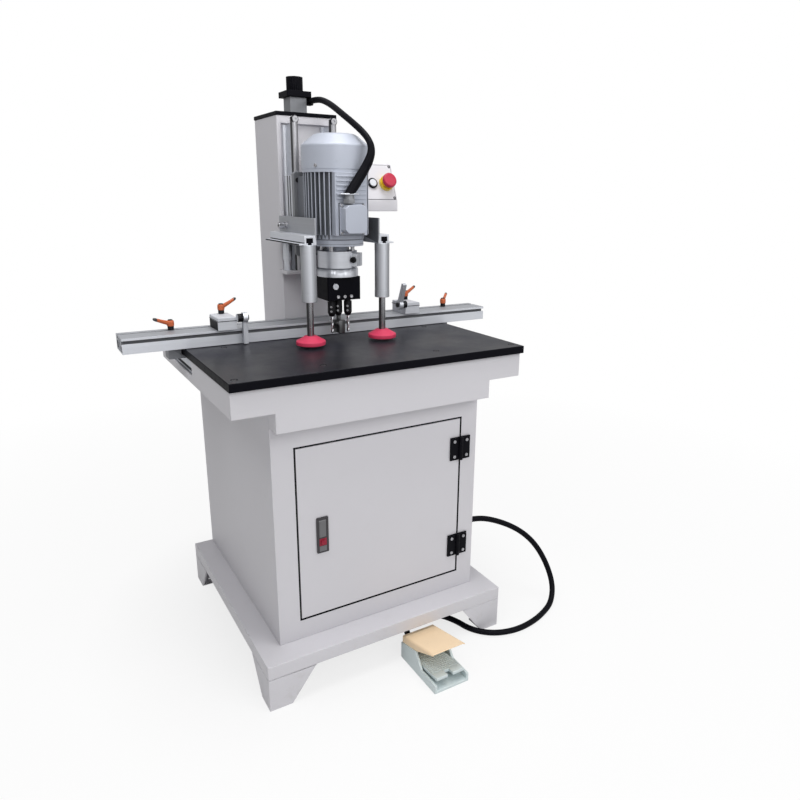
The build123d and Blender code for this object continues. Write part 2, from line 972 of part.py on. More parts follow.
# Table plate
with BuildPart() as table_top:
    block((-table_side, table_side), (table_front, table_rear), (deck_top, table_top_z))
    chamfer(table_top.faces().sort_by(Axis.Z)[-1].edges(), length=table_edge)
    for screw_x, screw_y in table_screws():
        cone_low = table_top_z - table_screw_cone - screw_clearance
        post(screw_x, screw_y, deck_top, cone_low, table_screw_radius + screw_clearance,
             mode=Mode.SUBTRACT)
        turned(screw_x, screw_y,
               ((0, cone_low), (table_screw_radius + screw_clearance, cone_low),
                (table_screw_head + screw_clearance, table_top_z), (0, table_top_z)),
               mode=Mode.SUBTRACT)
write(table_top, "table_top")


# Slotted rails on which the fence slides
with BuildPart() as fence_rails:
    rail_bottom = frame_bottom + frame_sheet
    rail_y = (trough_front + rail_margin, cabinet_rear - frame_sheet - rail_margin)
    block((rail_x - rail_width / 2, rail_x + rail_width / 2), rail_y, (rail_bottom, rail_top))
    for groove_x in (rail_x - rail_groove_pitch / 2, rail_x + rail_groove_pitch / 2):
        block((groove_x - rail_groove_width / 2, groove_x + rail_groove_width / 2), rail_y,
              (rail_top - rail_groove_depth, rail_top), mode=Mode.SUBTRACT)
    for groove_side in (-1, 1):
        face_x = rail_x + groove_side * rail_width / 2
        block((face_x - groove_side * rail_groove_width, face_x), rail_y,
              (rail_top - 3 * rail_groove_depth, rail_top - 2 * rail_groove_depth),
              mode=Mode.SUBTRACT)
    mirror(about=Plane.YZ)
write(fence_rails, "fence_rails")

# Fence extrusion and its two carriers
with BuildPart() as fence_beam:
    fence_x = (-fence_length / 2, fence_length / 2)
    slot_z = fence_bottom + front_slot_rise
    chamber_low = fence_bottom + fence_wall
    block(fence_x, (fence_front, fence_rear), (fence_bottom, fence_top))
    block(fence_x, (fence_front, fence_front + slot_lip),
          (slot_z - slot_mouth / 2, slot_z + slot_mouth / 2), mode=Mode.SUBTRACT)
    block(fence_x, (fence_front + slot_lip, fence_front + slot_lip + slot_cavity_depth),
          (slot_z - slot_cavity / 2, slot_z + slot_cavity / 2), mode=Mode.SUBTRACT)
    block(fence_x, (top_slot_y - slot_mouth / 2, top_slot_y + slot_mouth / 2),
          (fence_top - slot_lip, fence_top), mode=Mode.SUBTRACT)
    block(fence_x, (top_slot_y - slot_cavity / 2, top_slot_y + slot_cavity / 2),
          (fence_top - slot_lip - slot_cavity_depth, fence_top - slot_lip), mode=Mode.SUBTRACT)
    block(fence_x, (fence_front + fence_wall, fence_front + fence_web_front),
          (chamber_low, slot_z - slot_cavity / 2 - fence_wall), mode=Mode.SUBTRACT)
    block(fence_x, (fence_front + fence_web_front + fence_wall, fence_front + fence_web_rear),
          (chamber_low, fence_top - fence_wall), mode=Mode.SUBTRACT)
    block(fence_x, (fence_front + fence_web_rear + fence_wall, fence_rear - fence_wall),
          (chamber_low, fence_top - slot_lip - slot_cavity_depth - fence_wall),
          mode=Mode.SUBTRACT)

with BuildPart() as fence_carriers:
    carrier_in = table_side + carrier_edge_gap
    carrier_y = (fence_front + carrier_setback, fence_front + carrier_setback + carrier_depth)
    carrier_low = rail_top + slide_clearance
    block((carrier_in, carrier_in + carrier_width), carrier_y, (carrier_low, fence_bottom))
    block((rail_x - rail_width / 2 + carrier_foot_inset, carrier_in), carrier_y,
          (carrier_low, deck_top - carrier_foot_gap))
    mirror(about=Plane.YZ)
write_group((fence_beam, fence_carriers), "fence_beam")


# Stop block with its foot in the fence slot and the pin of the swinging arm
def stop_block(side, stop_inner):
    outer = side * (stop_inner + stop_width)
    inner = side * stop_inner
    spacer = inner - side * stop_spacer_length
    hub = spacer - side * (stop_arm_thickness + 2 * slide_clearance)
    with BuildPart() as piece:
        block((outer, inner), (stop_front, stop_rear), (stop_bottom, stop_top))
        fillet(piece.edges().filter_by(Axis.Y).group_by(Axis.Z)[-1], radius=stop_edge)
        block((outer, inner), (top_slot_y - stop_tongue / 2, top_slot_y + stop_tongue / 2),
              (fence_top - slot_lip - slide_clearance, stop_bottom))
        block((outer, inner), (top_slot_y - stop_foot / 2, top_slot_y + stop_foot / 2),
              (fence_top - slot_lip - slide_clearance - stop_foot_height,
               fence_top - slot_lip - slide_clearance))
        pin_x(stop_pivot_y, stop_pivot_z, inner, spacer, stop_spacer_radius)
        pin_x(stop_pivot_y, stop_pivot_z, spacer, hub, stop_pin_radius)
        pin_x(stop_pivot_y, stop_pivot_z, hub, hub - side * stop_pin_head_length, stop_pin_head)
        post(side * stop_lever_x, top_slot_y - stop_lever_back,
             stop_top - lever_stud_length - slide_clearance, stop_top,
             lever_stud_radius + running_clearance, mode=Mode.SUBTRACT)
    return piece


# Swinging stop arm, turned about its pin by an angle from hanging straight down
def stop_arm(side, stop_inner, angle):
    near = side * (stop_inner - stop_spacer_length - slide_clearance)
    far = near - side * stop_arm_thickness
    pivot = Plane(origin=(min(near, far), stop_pivot_y, stop_pivot_z),
                  x_dir=(0, cos(radians(angle)), sin(radians(angle))), z_dir=(1, 0, 0))
    with BuildPart() as piece:
        with BuildSketch(pivot):
            Circle(stop_hub_radius)
            with Locations((0, -stop_arm_length / 2)):
                Rectangle(stop_arm_width, stop_arm_length)
            Circle(stop_pin_radius + running_clearance, mode=Mode.SUBTRACT)
        extrude(amount=stop_arm_thickness)
    return piece


left_stop_block = stop_block(-1, stop_inner_left)
write(left_stop_block, "left_stop_block")
right_stop_block = stop_block(1, stop_inner_right)
write(right_stop_block, "right_stop_block")
left_stop_arm = stop_arm(-1, stop_inner_left, 0)
write(left_stop_arm, "left_stop_arm")
right_stop_arm = stop_arm(1, stop_inner_right, 180 + stop_lean)
write(right_stop_arm, "right_stop_arm")


# Clamp lever standing on a surface, its arm rising towards a heading
def clamp_lever(x, y, seat, heading, foot):
    foot_z = seat - slot_lip - slide_clearance
    toward = (cos(radians(heading)), sin(radians(heading)), 0)
    side_plane = Plane(origin=(x, y, seat), x_dir=toward,
                       z_dir=(toward[1], -toward[0], 0))
    arm_low = lever_base_height + slide_clearance
    arm_end = lever_reach - lever_tip_width / 2
    with BuildPart() as piece:
        post(x, y, seat + slide_clearance, seat + arm_low, lever_base_radius)
        hub_top = seat + arm_low + lever_hub_height
        post(x, y, seat + arm_low, hub_top, lever_hub_radius)
        post(x, y, hub_top, hub_top + lever_cap_height, lever_cap_radius)
        with BuildSketch(side_plane.offset(-lever_tip_width / 2)):
            with BuildLine():
                Polyline((0, arm_low), (lever_hub_radius, arm_low),
                         (arm_end, arm_low + lever_climb - lever_thickness / 2),
                         (lever_reach, arm_low + lever_climb + lever_thickness / 2),
                         (arm_end, arm_low + lever_climb + lever_thickness),
                         (0, arm_low + lever_hub_height), close=True)
            make_face()
        extrude(amount=lever_tip_width)
        post(x, y, seat - lever_stud_length, seat + arm_low, lever_stud_radius)
        if foot:
            post(x, y, foot_z - lever_foot_height, foot_z, lever_foot_radius)
    return piece


fence_lever_left = clamp_lever(fence_lever_left_x, top_slot_y, fence_top,
                               fence_lever_left_heading, True)
write(fence_lever_left, "fence_lever_left")
fence_lever_right = clamp_lever(fence_lever_right_x, top_slot_y, fence_top,
                                fence_lever_right_heading, True)
write(fence_lever_right, "fence_lever_right")
stop_lever_left = clamp_lever(-stop_lever_x, top_slot_y - stop_lever_back, stop_top,
                              stop_lever_heading, False)
write(stop_lever_left, "stop_lever_left")
stop_lever_right = clamp_lever(stop_lever_x, top_slot_y - stop_lever_back, stop_top,
                               stop_lever_heading, False)
write(stop_lever_right, "stop_lever_right")

# Column with a recessed front, a ledge under the guides and lugs for the arms
with BuildPart() as column_shell:
    hollow_front = recess_floor + column_wall
    recess_half = column_side - recess_flange
    block((-column_side, column_side), (column_front, column_rear), (deck_top, column_top))
    block((column_wall - column_side, column_side - column_wall),
          (hollow_front, column_rear - column_wall), (deck_top + column_floor, column_top),
          mode=Mode.SUBTRACT)
    block((-recess_half, recess_half), (column_front, recess_floor), (ledge_top, recess_top),
          mode=Mode.SUBTRACT)
    block((-window_half, window_half), (recess_floor, hollow_front),
          (bracket_bottom - window_bottom_drop, feed_bottom), mode=Mode.SUBTRACT)
    block((-ledge_half, ledge_half), (column_front - ledge_reach, column_front),
          (ledge_top - ledge_thickness, ledge_top))
    lug_low = arm_bottom + lug_rise
    for side in (-1, 1):
        block((side * (column_side - lug_thickness), side * column_side),
              (column_front - lug_reach, column_front), (lug_low, lug_low + lug_height))
    pin_x(arm_bolt_y, arm_bottom + arm_bolt_rise, -column_side, column_side,
          arm_bolt_radius + screw_clearance, mode=Mode.SUBTRACT)
write(column_shell, "column_shell")

with BuildPart() as column_cap:
    cap_side = column_side + cap_overhang
    block((-cap_side, cap_side), (column_front - cap_overhang, column_rear + cap_overhang),
          (column_top, column_top + cap_thickness))
    block((-feed_size / 2, feed_size / 2), (feed_y - feed_size / 2, feed_y + feed_size / 2),
          (column_top, column_top + cap_thickness), mode=Mode.SUBTRACT)
write(column_cap, "column_cap")

# Guide shafts, their supports and the buffers on the ledge
with BuildPart() as guide_rails:
    support_z = (ledge_top, ledge_top + support_length)
    block((shaft_x - support_foot_width / 2, shaft_x + support_foot_width / 2),
          (recess_floor - support_foot_thickness, recess_floor), support_z)
    block((shaft_x - support_web / 2, shaft_x + support_web / 2),
          (shaft_y, recess_floor - support_foot_thickness), support_z)
    post(shaft_x, shaft_y, *support_z, shaft_radius + running_clearance, mode=Mode.SUBTRACT)
    post(shaft_x, shaft_y, ledge_top, shaft_top - shaft_end_height, shaft_radius)
    post(shaft_x, shaft_y, shaft_top - shaft_end_height, shaft_top, shaft_end_radius)
    post(buffer_x, buffer_y, ledge_top, ledge_top + buffer_post_height, buffer_post_radius)
    post(buffer_x, buffer_y, ledge_top + buffer_post_height,
         ledge_top + buffer_post_height + buffer_height, buffer_radius)
    mirror(about=Plane.YZ)
write(guide_rails, "guide_rails")

# Feed cylinder standing through the column cap
with BuildPart() as feed_cylinder:
    feed_half = feed_size / 2
    block((-feed_half, feed_half), (feed_y - feed_half, feed_y + feed_half),
          (feed_bottom, feed_top))
    fillet(feed_cylinder.edges().filter_by(Axis.Z), radius=cap_overhang)
    post(0, feed_y, feed_bottom + feed_end, feed_top - feed_end, feed_bore,
         mode=Mode.SUBTRACT)
    post(0, feed_y, feed_bottom, feed_bottom + feed_end,
         feed_rod_radius + running_clearance, mode=Mode.SUBTRACT)
write(feed_cylinder, "feed_cylinder")

with BuildPart() as cylinder_flange:
    flange_half = feed_flange_size / 2
    block((-flange_half, flange_half), (feed_y - flange_half, feed_y + flange_half),
          (feed_top, feed_flange_top))
    fillet(cylinder_flange.edges().filter_by(Axis.Z), radius=flange_half / 8)
    post(0, feed_y, feed_top, feed_flange_top, knob_stud_radius + running_clearance,
         mode=Mode.SUBTRACT)
write(cylinder_flange, "cylinder_flange")

with BuildPart() as stroke_knob:
    knob_low = feed_flange_top + slide_clearance
    post(0, feed_y, knob_low, knob_low + knob_height, knob_radius)
    with Locations((0, feed_y, knob_low + knob_rim + (knob_height - knob_rim) / 2)):
        with PolarLocations(knob_radius, knob_flutes):
            Cylinder(knob_flute_radius, knob_height - knob_rim, mode=Mode.SUBTRACT)
    post(0, feed_y, feed_top + slide_clearance, knob_low, knob_stud_radius)
write(stroke_knob, "stroke_knob")

# Piston, rod and bracket that carry the head
with BuildPart() as feed_rod:
    piston_low = feed_bottom + feed_end + feed_piston_gap
    block((-bracket_half, bracket_half), (saddle_rear, feed_y + bracket_tail),
          (bracket_bottom, bracket_top))
    post(0, feed_y, bracket_top, piston_low, feed_rod_radius)
    post(0, feed_y, piston_low, piston_low + feed_piston_height,
         feed_bore - running_clearance)
write(feed_rod, "feed_rod")

# Saddle plate
with BuildPart() as head_saddle:
    block((-saddle_half, saddle_half), (motor_foot_plane, saddle_rear),
          (saddle_bottom, saddle_top))
    chamfer(head_saddle.edges().filter_by(Axis.Y), length=gearbox_edge)
write(head_saddle, "head_saddle")

# Ribbed bearing blocks around the guide shafts
with BuildPart() as bearing_blocks:
    block((shaft_x - block_width / 2, shaft_x + block_width / 2), (saddle_rear, block_rear),
          (block_bottom, block_top))
    post(shaft_x, shaft_y, block_bottom, block_top, shaft_radius + running_clearance,
         mode=Mode.SUBTRACT)
    slot_half = support_web / 2 + web_clearance
    block((shaft_x - slot_half, shaft_x + slot_half), (shaft_y, block_rear),
          (block_bottom, block_top), mode=Mode.SUBTRACT)
    groove_pitch = block_depth / (block_groove_count + 1)
    for groove in range(block_groove_count):
        groove_y = saddle_rear + (groove + 1) * groove_pitch
        for side in (-1, 1):
            face_x = shaft_x + side * block_width / 2
            block((face_x - side * block_groove_depth, face_x),
                  (groove_y - block_groove_width / 2, groove_y + block_groove_width / 2),
                  (block_bottom, block_top), mode=Mode.SUBTRACT)
    mirror(about=Plane.YZ)
write(bearing_blocks, "bearing_blocks")

# Motor housing with fins, feet and the terminal base
with BuildPart() as motor_housing:
    post(0, spindle_y, motor_bottom, motor_top, motor_core)
    fin_length = fin_radius - motor_core / 2
    with Locations((0, spindle_y, (motor_bottom + motor_top) / 2)):
        with PolarLocations(motor_core / 2 + fin_length / 2, fin_count):
            Box(fin_length, fin_thickness, motor_length)
    post(0, spindle_y, motor_top - shield_height, motor_top, shield_radius)
    post(0, spindle_y, flange_top, motor_bottom, lip_radius)
    post(0, spindle_y, flange_bottom, flange_top, flange_radius)
    post(0, spindle_y, collar_top, flange_bottom, spigot_radius)
    for side in (-1, 1):
        block((side * motor_foot_inner, side * motor_foot_outer),
              (motor_foot_root, motor_foot_plane),
              (motor_bottom + motor_foot_margin, motor_top - motor_foot_margin))
    block((-terminal_half, terminal_half), (terminal_front, spindle_y - terminal_root),
          (motor_bottom, motor_top - shield_height))
    post(0, spindle_y, motor_bottom + shield_height, motor_top - shield_height,
         rotor_radius + rotor_gap, mode=Mode.SUBTRACT)
    post(0, spindle_y, flange_bottom, motor_top, motor_shaft_radius + running_clearance,
         mode=Mode.SUBTRACT)
    post(0, spindle_y, collar_top, flange_bottom, spigot_bore, mode=Mode.SUBTRACT)
write(motor_housing, "motor_housing")

# Fan cover with an air grille in the top
with BuildPart() as fan_cover:
    crown_radius = cover_radius - cover_shoulder_run
    with BuildSketch(Plane.XZ.offset(-spindle_y)):
        with BuildLine():
            FilletPolyline((cover_radius, motor_top),
                           (cover_radius, cover_top - cover_shoulder_rise),
                           (crown_radius, cover_top), (0, cover_top),
                           radius=(cover_wall_edge, cover_crown_edge))
            Polyline((0, cover_top), (0, motor_top), (cover_radius, motor_top))
        make_face()
    revolve(axis=Axis((0, spindle_y, 0), (0, 0, 1)))
    offset(amount=-cover_sheet, openings=fan_cover.faces().sort_by(Axis.Z)[0])
    with BuildSketch(Plane.XY.offset(cover_top)):
        with Locations((0, spindle_y)):
            with PolarLocations(cover_slot_radius, cover_slot_count):
                SlotOverall(cover_slot_length, cover_slot_width)
    extrude(amount=-cover_sheet, mode=Mode.SUBTRACT)
write(fan_cover, "fan_cover")

# Terminal lid
with BuildPart() as terminal_lid:
    block((-lid_half, lid_half), (lid_front, terminal_front), (lid_bottom, lid_top))
    chamfer(terminal_lid.faces().sort_by(Axis.Y)[0].edges(), length=lid_chamfer)
write(terminal_lid, "terminal_lid")

# Conduit gland, with a boot that leans along the first run of the conduit
with BuildPart() as conduit_boot:
    with BuildSketch(Plane.XY.offset(lid_top)):
        with Locations((gland_x, gland_y)):
            RegularPolygon(gland_nut_radius, 6)
    extrude(amount=gland_nut_height)
    post(gland_x, gland_y, lid_top + gland_nut_height, gland_top, gland_neck_radius)
    boot_end = Plane(origin=conduit_points[0],
                     z_dir=Vector(*conduit_points[1]) - Vector(*conduit_points[0]))
    with BuildSketch(Plane.XY.offset(gland_top)):
        with Locations((gland_x, gland_y)):
            Circle(boot_root_radius)
    with BuildSketch(boot_end):
        Circle(conduit_radius + cover_sheet / 2)
    loft()
write(conduit_boot, "conduit_boot")

# Clamp collar with a slit lug, and the ring plate under it
with BuildPart() as clamp_collar:
    post(0, spindle_y, collar_bottom, collar_top, collar_radius)
    collar_middle = (collar_bottom + collar_top) / 2
    collar_plane = Plane(origin=(0, spindle_y, collar_middle),
                         x_dir=(cos(radians(collar_heading)), sin(radians(collar_heading)), 0),
                         z_dir=(0, 0, 1))
    lug_root = collar_radius - collar_lug_reach / 2
    with BuildSketch(collar_plane.offset(-collar_lug_height / 2)):
        with Locations((lug_root + collar_lug_reach / 2, 0)):
            Rectangle(collar_lug_reach, 2 * collar_lug_width)
    extrude(amount=collar_lug_height)
    post(0, spindle_y, collar_bottom, collar_top, collar_bore, mode=Mode.SUBTRACT)
    with BuildSketch(collar_plane.offset(-collar_height / 2)):
        with Locations((collar_radius, 0)):
            Rectangle(2 * collar_lug_reach, collar_slit)
    extrude(amount=collar_height, mode=Mode.SUBTRACT)
    lug_bolt_x = collar_radius + collar_lug_reach / 8
    with BuildSketch(Plane(origin=collar_plane.from_local_coords((lug_bolt_x, 0, 0)),
                           z_dir=collar_plane.y_dir)):
        Circle(collar_lug_hole)
    extrude(amount=2 * collar_lug_width, both=True, mode=Mode.SUBTRACT)

with BuildPart() as ring_plate:
    turned(0, spindle_y,
           ((ring_bore, gearbox_top), (ring_radius, gearbox_top), (ring_radius, ring_top),
            (ring_seat_radius, ring_top), (ring_seat_radius, collar_bottom),
            (ring_bore, collar_bottom)))
write_group((clamp_collar, ring_plate), "clamp_collar")

# Gearbox housing
with BuildPart() as gearbox_housing:
    gearbox_half = gearbox_width / 2
    gearbox_front = spindle_y - gearbox_front_reach
    gearbox_rear = spindle_y + gearbox_rear_reach
    cavity_low = gearbox_bottom + gearbox_floor
    cavity_high = gearbox_top - gearbox_roof
    block((-gearbox_half, gearbox_half), (gearbox_front, gearbox_rear),
          (gearbox_bottom, gearbox_top))
    fillet(gearbox_housing.edges().filter_by(Axis.Z), radius=gearbox_edge)
    block((gearbox_wall - gearbox_half, gearbox_half - gearbox_wall),
          (gearbox_front + gearbox_wall, gearbox_rear - gearbox_wall),
          (cavity_low, cavity_high), mode=Mode.SUBTRACT)
    post(0, spindle_y, gearbox_bottom, gearbox_top, centre_spindle_radius + running_clearance,
         mode=Mode.SUBTRACT)
    for side in (-1, 1):
        post(side * side_spindle_x, side_spindle_y, gearbox_bottom, cavity_low,
             spindle_radius + running_clearance, mode=Mode.SUBTRACT)
        post(side * side_spindle_x, side_spindle_y, cavity_high, cavity_high + journal_depth,
             journal_radius + running_clearance, mode=Mode.SUBTRACT)
write(gearbox_housing, "gearbox_housing")


# Spur gear on an upright axis, its first tooth at a given angle
def spur_gear(x, y, first_tooth):
    tooth_length = gear_tip_radius - gear_root_radius + gear_dedendum
    with BuildSketch(Plane.XY.offset(gear_bottom)) as section:
        with Locations((x, y)):
            Circle(gear_root_radius)
            with PolarLocations(gear_tip_radius - tooth_length / 2, gear_teeth, first_tooth):
                Rectangle(tooth_length, gear_tooth)
    extrude(section.sketch, amount=gear_height)


# First tooth of a side gear, half a pitch out of step with the centre gear at the mesh
def mesh_angle(side):
    toward = degrees(atan2(-side_spindle_forward, side * side_spindle_x))
    step = toward % gear_pitch_angle
    return toward + 180 - gear_pitch_angle / 2 + step


# Chuck with a tapered nose
def chuck_profile(nose_bore):
    nose_top = chuck_bottom + chuck_nose_length
    return ((nose_bore, chuck_bottom), (chuck_nose_radius, chuck_bottom),
            (chuck_radius, nose_top), (chuck_radius, chuck_top), (nose_bore, chuck_top))


with BuildPart() as centre_spindle:
    post(0, spindle_y, chuck_top, collar_bottom + ring_seat, centre_spindle_radius)
    turned(0, spindle_y, chuck_profile(0))
    spur_gear(0, spindle_y, 0)
write(centre_spindle, "centre_spindle")

with BuildPart() as hinge_cutter:
    cutter_top = cutter_tip + cutter_height
    turned(0, spindle_y,
           ((0, cutter_tip - cutter_point), (cutter_point, cutter_tip),
            (cutter_radius, cutter_tip), (cutter_radius, cutter_top),
            (cutter_shank, cutter_top), (cutter_shank, chuck_bottom), (0, chuck_bottom)))
    for side in (-1, 1):
        block((side * cutter_shank, side * cutter_radius),
              (spindle_y, spindle_y + side * cutter_radius),
              (cutter_tip, cutter_top - cutter_height / 3), mode=Mode.SUBTRACT)
write(hinge_cutter, "hinge_cutter")


# Side spindle with gear, chuck and drill as one turning piece
def side_spindle(side):
    x = side * side_spindle_x
    drill_tip = cutter_tip + drill_tip_rise
    with BuildPart() as piece:
        post(x, side_spindle_y, chuck_top, gearbox_top - gearbox_roof, spindle_radius)
        post(x, side_spindle_y, gearbox_top - gearbox_roof,
             gearbox_top - gearbox_roof + journal_length, journal_radius)
        turned(x, side_spindle_y, chuck_profile(0))
        turned(x, side_spindle_y,
               ((0, drill_tip), (drill_radius, drill_tip + drill_point),
                (drill_radius, chuck_bottom), (0, chuck_bottom)))
        spur_gear(x, side_spindle_y, mesh_angle(side))
    return piece


left_spindle = side_spindle(-1)
write(left_spindle, "left_spindle")
right_spindle = side_spindle(1)
write(right_spindle, "right_spindle")

# Motor rotor, shaft and fan as one turning piece
with BuildPart() as motor_rotor:
    fan_low = motor_top + fan_lift
    post(0, spindle_y, collar_bottom + ring_seat, fan_low + fan_height, motor_shaft_radius)
    post(0, spindle_y, motor_bottom + rotor_margin, motor_top - rotor_margin, rotor_radius)
    post(0, spindle_y, fan_low, fan_low + fan_height, fan_hub_radius)
    blade_length = fan_radius - motor_shaft_radius
    with Locations((0, spindle_y, fan_low + fan_height / 2)):
        with PolarLocations(motor_shaft_radius + blade_length / 2, fan_blades):
            Box(blade_length, fan_blade_thickness, fan_height)
write(motor_rotor, "motor_rotor")

# Standoffs under the motor flange and the screws of the head
with BuildPart() as head_screws:
    with Locations((0, spindle_y, collar_top + standoff_height / 2)):
        with PolarLocations(standoff_circle, 4, 45):
            Cylinder(standoff_radius, standoff_height)
    gearbox_face = spindle_y - gearbox_front_reach
    for screw_x in (-gearbox_width / 5, 0, gearbox_width / 5):
        pin_y(screw_x, gearbox_bottom + gearbox_edge + screw_head_radius,
              gearbox_face - screw_head_height, gearbox_face, screw_head_radius)
    pin_y(-gearbox_plug_x, gearbox_bottom + gearbox_height * 0.6,
          gearbox_face - screw_head_height, gearbox_face, 2 * screw_head_radius)
    for lid_x in (-lid_half + 2 * lid_chamfer, lid_half - 2 * lid_chamfer):
        for lid_z in (lid_bottom + 2 * lid_chamfer, lid_top - 2 * lid_chamfer):
            pin_y(lid_x, lid_z, lid_front - panel_screw_head_height, lid_front,
                  panel_screw_head)
write(head_screws, "head_screws")

# Slotted hold-down arms
with BuildPart() as hold_down_arms:
    base_in = arm_inner + arm_plate
    base_out = base_in + arm_base_width
    slot_x = (base_in + base_out) / 2
    arm_y = (arm_front, arm_rear)
    block((arm_inner, base_in), arm_y, (arm_bottom, arm_bottom + arm_plate_height))
    block((base_in, base_out), arm_y, (arm_bottom, arm_bottom + arm_base_height))
    block((base_out, base_out + arm_flange_width), arm_y,
          (arm_bottom, arm_bottom + arm_flange_height))
    block((slot_x - arm_slot_mouth / 2, slot_x + arm_slot_mouth / 2), arm_y,
          (arm_bottom, arm_bottom + arm_slot_lip), mode=Mode.SUBTRACT)
    block((slot_x - arm_slot_cavity / 2, slot_x + arm_slot_cavity / 2), arm_y,
          (arm_bottom + arm_slot_lip, arm_bottom + arm_slot_lip + arm_slot_height),
          mode=Mode.SUBTRACT)
    pin_x(arm_bolt_y, arm_bottom + arm_bolt_rise, arm_inner, base_in,
          arm_bolt_radius + screw_clearance, mode=Mode.SUBTRACT)
    mirror(about=Plane.YZ)
write(hold_down_arms, "hold_down_arms")

# Hold-down cylinders hung in the slots of the arms
with BuildPart() as hold_down_cylinders:
    cap_low = hold_cylinder_bottom + hold_cap
    cap_high = arm_bottom - hold_cap
    waist = hold_cylinder_radius - hold_cap_groove
    head_low = arm_bottom + arm_slot_lip
    turned(hold_x, hold_y,
           ((hold_rod_radius + running_clearance, hold_cylinder_bottom),
            (hold_cylinder_radius, hold_cylinder_bottom),
            (hold_cylinder_radius, cap_low), (waist, cap_low),
            (waist, cap_low + hold_cap_groove_width),
            (hold_cylinder_radius, cap_low + hold_cap_groove_width),
            (hold_cylinder_radius, cap_high - hold_cap_groove_width),
            (waist, cap_high - hold_cap_groove_width), (waist, cap_high),
            (hold_cylinder_radius, cap_high), (hold_cylinder_radius, arm_bottom),
            (0, arm_bottom), (0, cap_high), (hold_bore, cap_high), (hold_bore, cap_low),
            (hold_rod_radius + running_clearance, cap_low)))
    post(hold_x, hold_y, arm_bottom, head_low, hold_stud_radius)
    block((hold_x - hold_stud_head / 2, hold_x + hold_stud_head / 2),
          (hold_y - hold_stud_head / 2, hold_y + hold_stud_head / 2),
          (head_low, head_low + hold_stud_height))
    mirror(about=Plane.YZ)
write(hold_down_cylinders, "hold_down_cylinders")


# Hold-down rod with its piston
def hold_rod(side):
    piston = hold_cylinder_bottom + hold_cap + hold_piston_gap
    with BuildPart() as piece:
        post(side * hold_x, hold_y, pad_top, piston, hold_rod_radius)
        post(side * hold_x, hold_y, piston, piston + hold_piston_height,
             hold_bore - running_clearance)
    return piece


# Domed hold-down pad
def hold_pad(side):
    rim_top = pad_bottom + pad_rim
    with BuildPart() as piece:
        turned(side * hold_x, hold_y,
               ((0, pad_bottom), (pad_radius, pad_bottom), (pad_radius, rim_top),
                (pad_crown, pad_top), (0, pad_top)))
    return piece


left_hold_rod = hold_rod(-1)
write(left_hold_rod, "left_hold_rod")
right_hold_rod = hold_rod(1)
write(right_hold_rod, "right_hold_rod")
left_pad = hold_pad(-1)
write(left_pad, "left_pad")
right_pad = hold_pad(1)
write(right_pad, "right_pad")


# Plane on the sloping panel, a share of the way up the slope
def panel_plane(x, share):
    spot = (x, box_front + share * box_slope_run, slope_foot + share * slope_rise)
    return Plane(origin=spot, x_dir=(1, 0, 0), z_dir=(0, -slope_rise, box_slope_run))


# Round step on the panel between two heights over it
def panel_disc(x, low, high, radius, mode=Mode.ADD, share=button_share):
    with BuildSketch(panel_plane(x, share).offset(low)) as section:
        Circle(radius)
    extrude(section.sketch, amount=high - low, mode=mode)


e_stop_x = box_right - e_stop_inset
start_x = box_right - start_inset
panel_screw_spots = []
for screw_x in (box_left + panel_screw_inset, box_right - panel_screw_inset):
    for screw_share in (panel_screw_inset / slope_length, 1 - panel_screw_inset / slope_length):
        panel_screw_spots.append((screw_x, screw_share))

# Control box, folded from sheet
with BuildPart() as control_box:
    sheet = box_sheet
    slope_shift = sheet * (slope_length - box_slope_run) / slope_rise
    profile_x(box_left, box_right,
              ((box_rear, box_bottom), (box_front, box_bottom), (box_front, slope_foot),
               (box_front + box_slope_run, box_top), (box_rear, box_top)))
    profile_x(box_left + sheet, box_right - sheet,
              ((box_rear - sheet, box_bottom + sheet), (box_front + sheet, box_bottom + sheet),
               (box_front + sheet, slope_foot + slope_shift / 4),
               (box_front + box_slope_run + slope_shift, box_top - sheet),
               (box_rear - sheet, box_top - sheet)), mode=Mode.SUBTRACT)
    panel_disc(e_stop_x, -2 * sheet, sheet, e_stop_stem_radius + running_clearance,
               mode=Mode.SUBTRACT)
    panel_disc(start_x, -2 * sheet, sheet, start_radius + running_clearance,
               mode=Mode.SUBTRACT)
    for screw_x, screw_share in panel_screw_spots:
        panel_disc(screw_x, -2 * sheet, sheet, panel_screw_radius + screw_clearance,
                   mode=Mode.SUBTRACT, share=screw_share)
write(control_box, "control_box")

# Collars of the two push buttons
with BuildPart() as button_collars:
    panel_disc(e_stop_x, 0, e_stop_collar_height, e_stop_collar_radius)
    panel_disc(e_stop_x, 0, e_stop_collar_height, e_stop_stem_radius + running_clearance,
               mode=Mode.SUBTRACT)
    panel_disc(start_x, 0, start_ring_height, start_ring_radius)
    panel_disc(start_x, 0, start_ring_height, start_radius + running_clearance,
               mode=Mode.SUBTRACT)
write(button_collars, "button_collars")

with BuildPart() as e_stop_button:
    panel_disc(e_stop_x, -button_inside, e_stop_neck, e_stop_stem_radius)
    panel_disc(e_stop_x, e_stop_neck, e_stop_neck + e_stop_cap, e_stop_radius)
    e_stop_rims = e_stop_button.edges().filter_by(GeomType.CIRCLE).sort_by(Axis.Y)
    fillet(e_stop_rims[0], radius=e_stop_crown)
write(e_stop_button, "e_stop_button")

with BuildPart() as start_button:
    panel_disc(start_x, -button_inside, start_proud, start_radius)
write(start_button, "start_button")

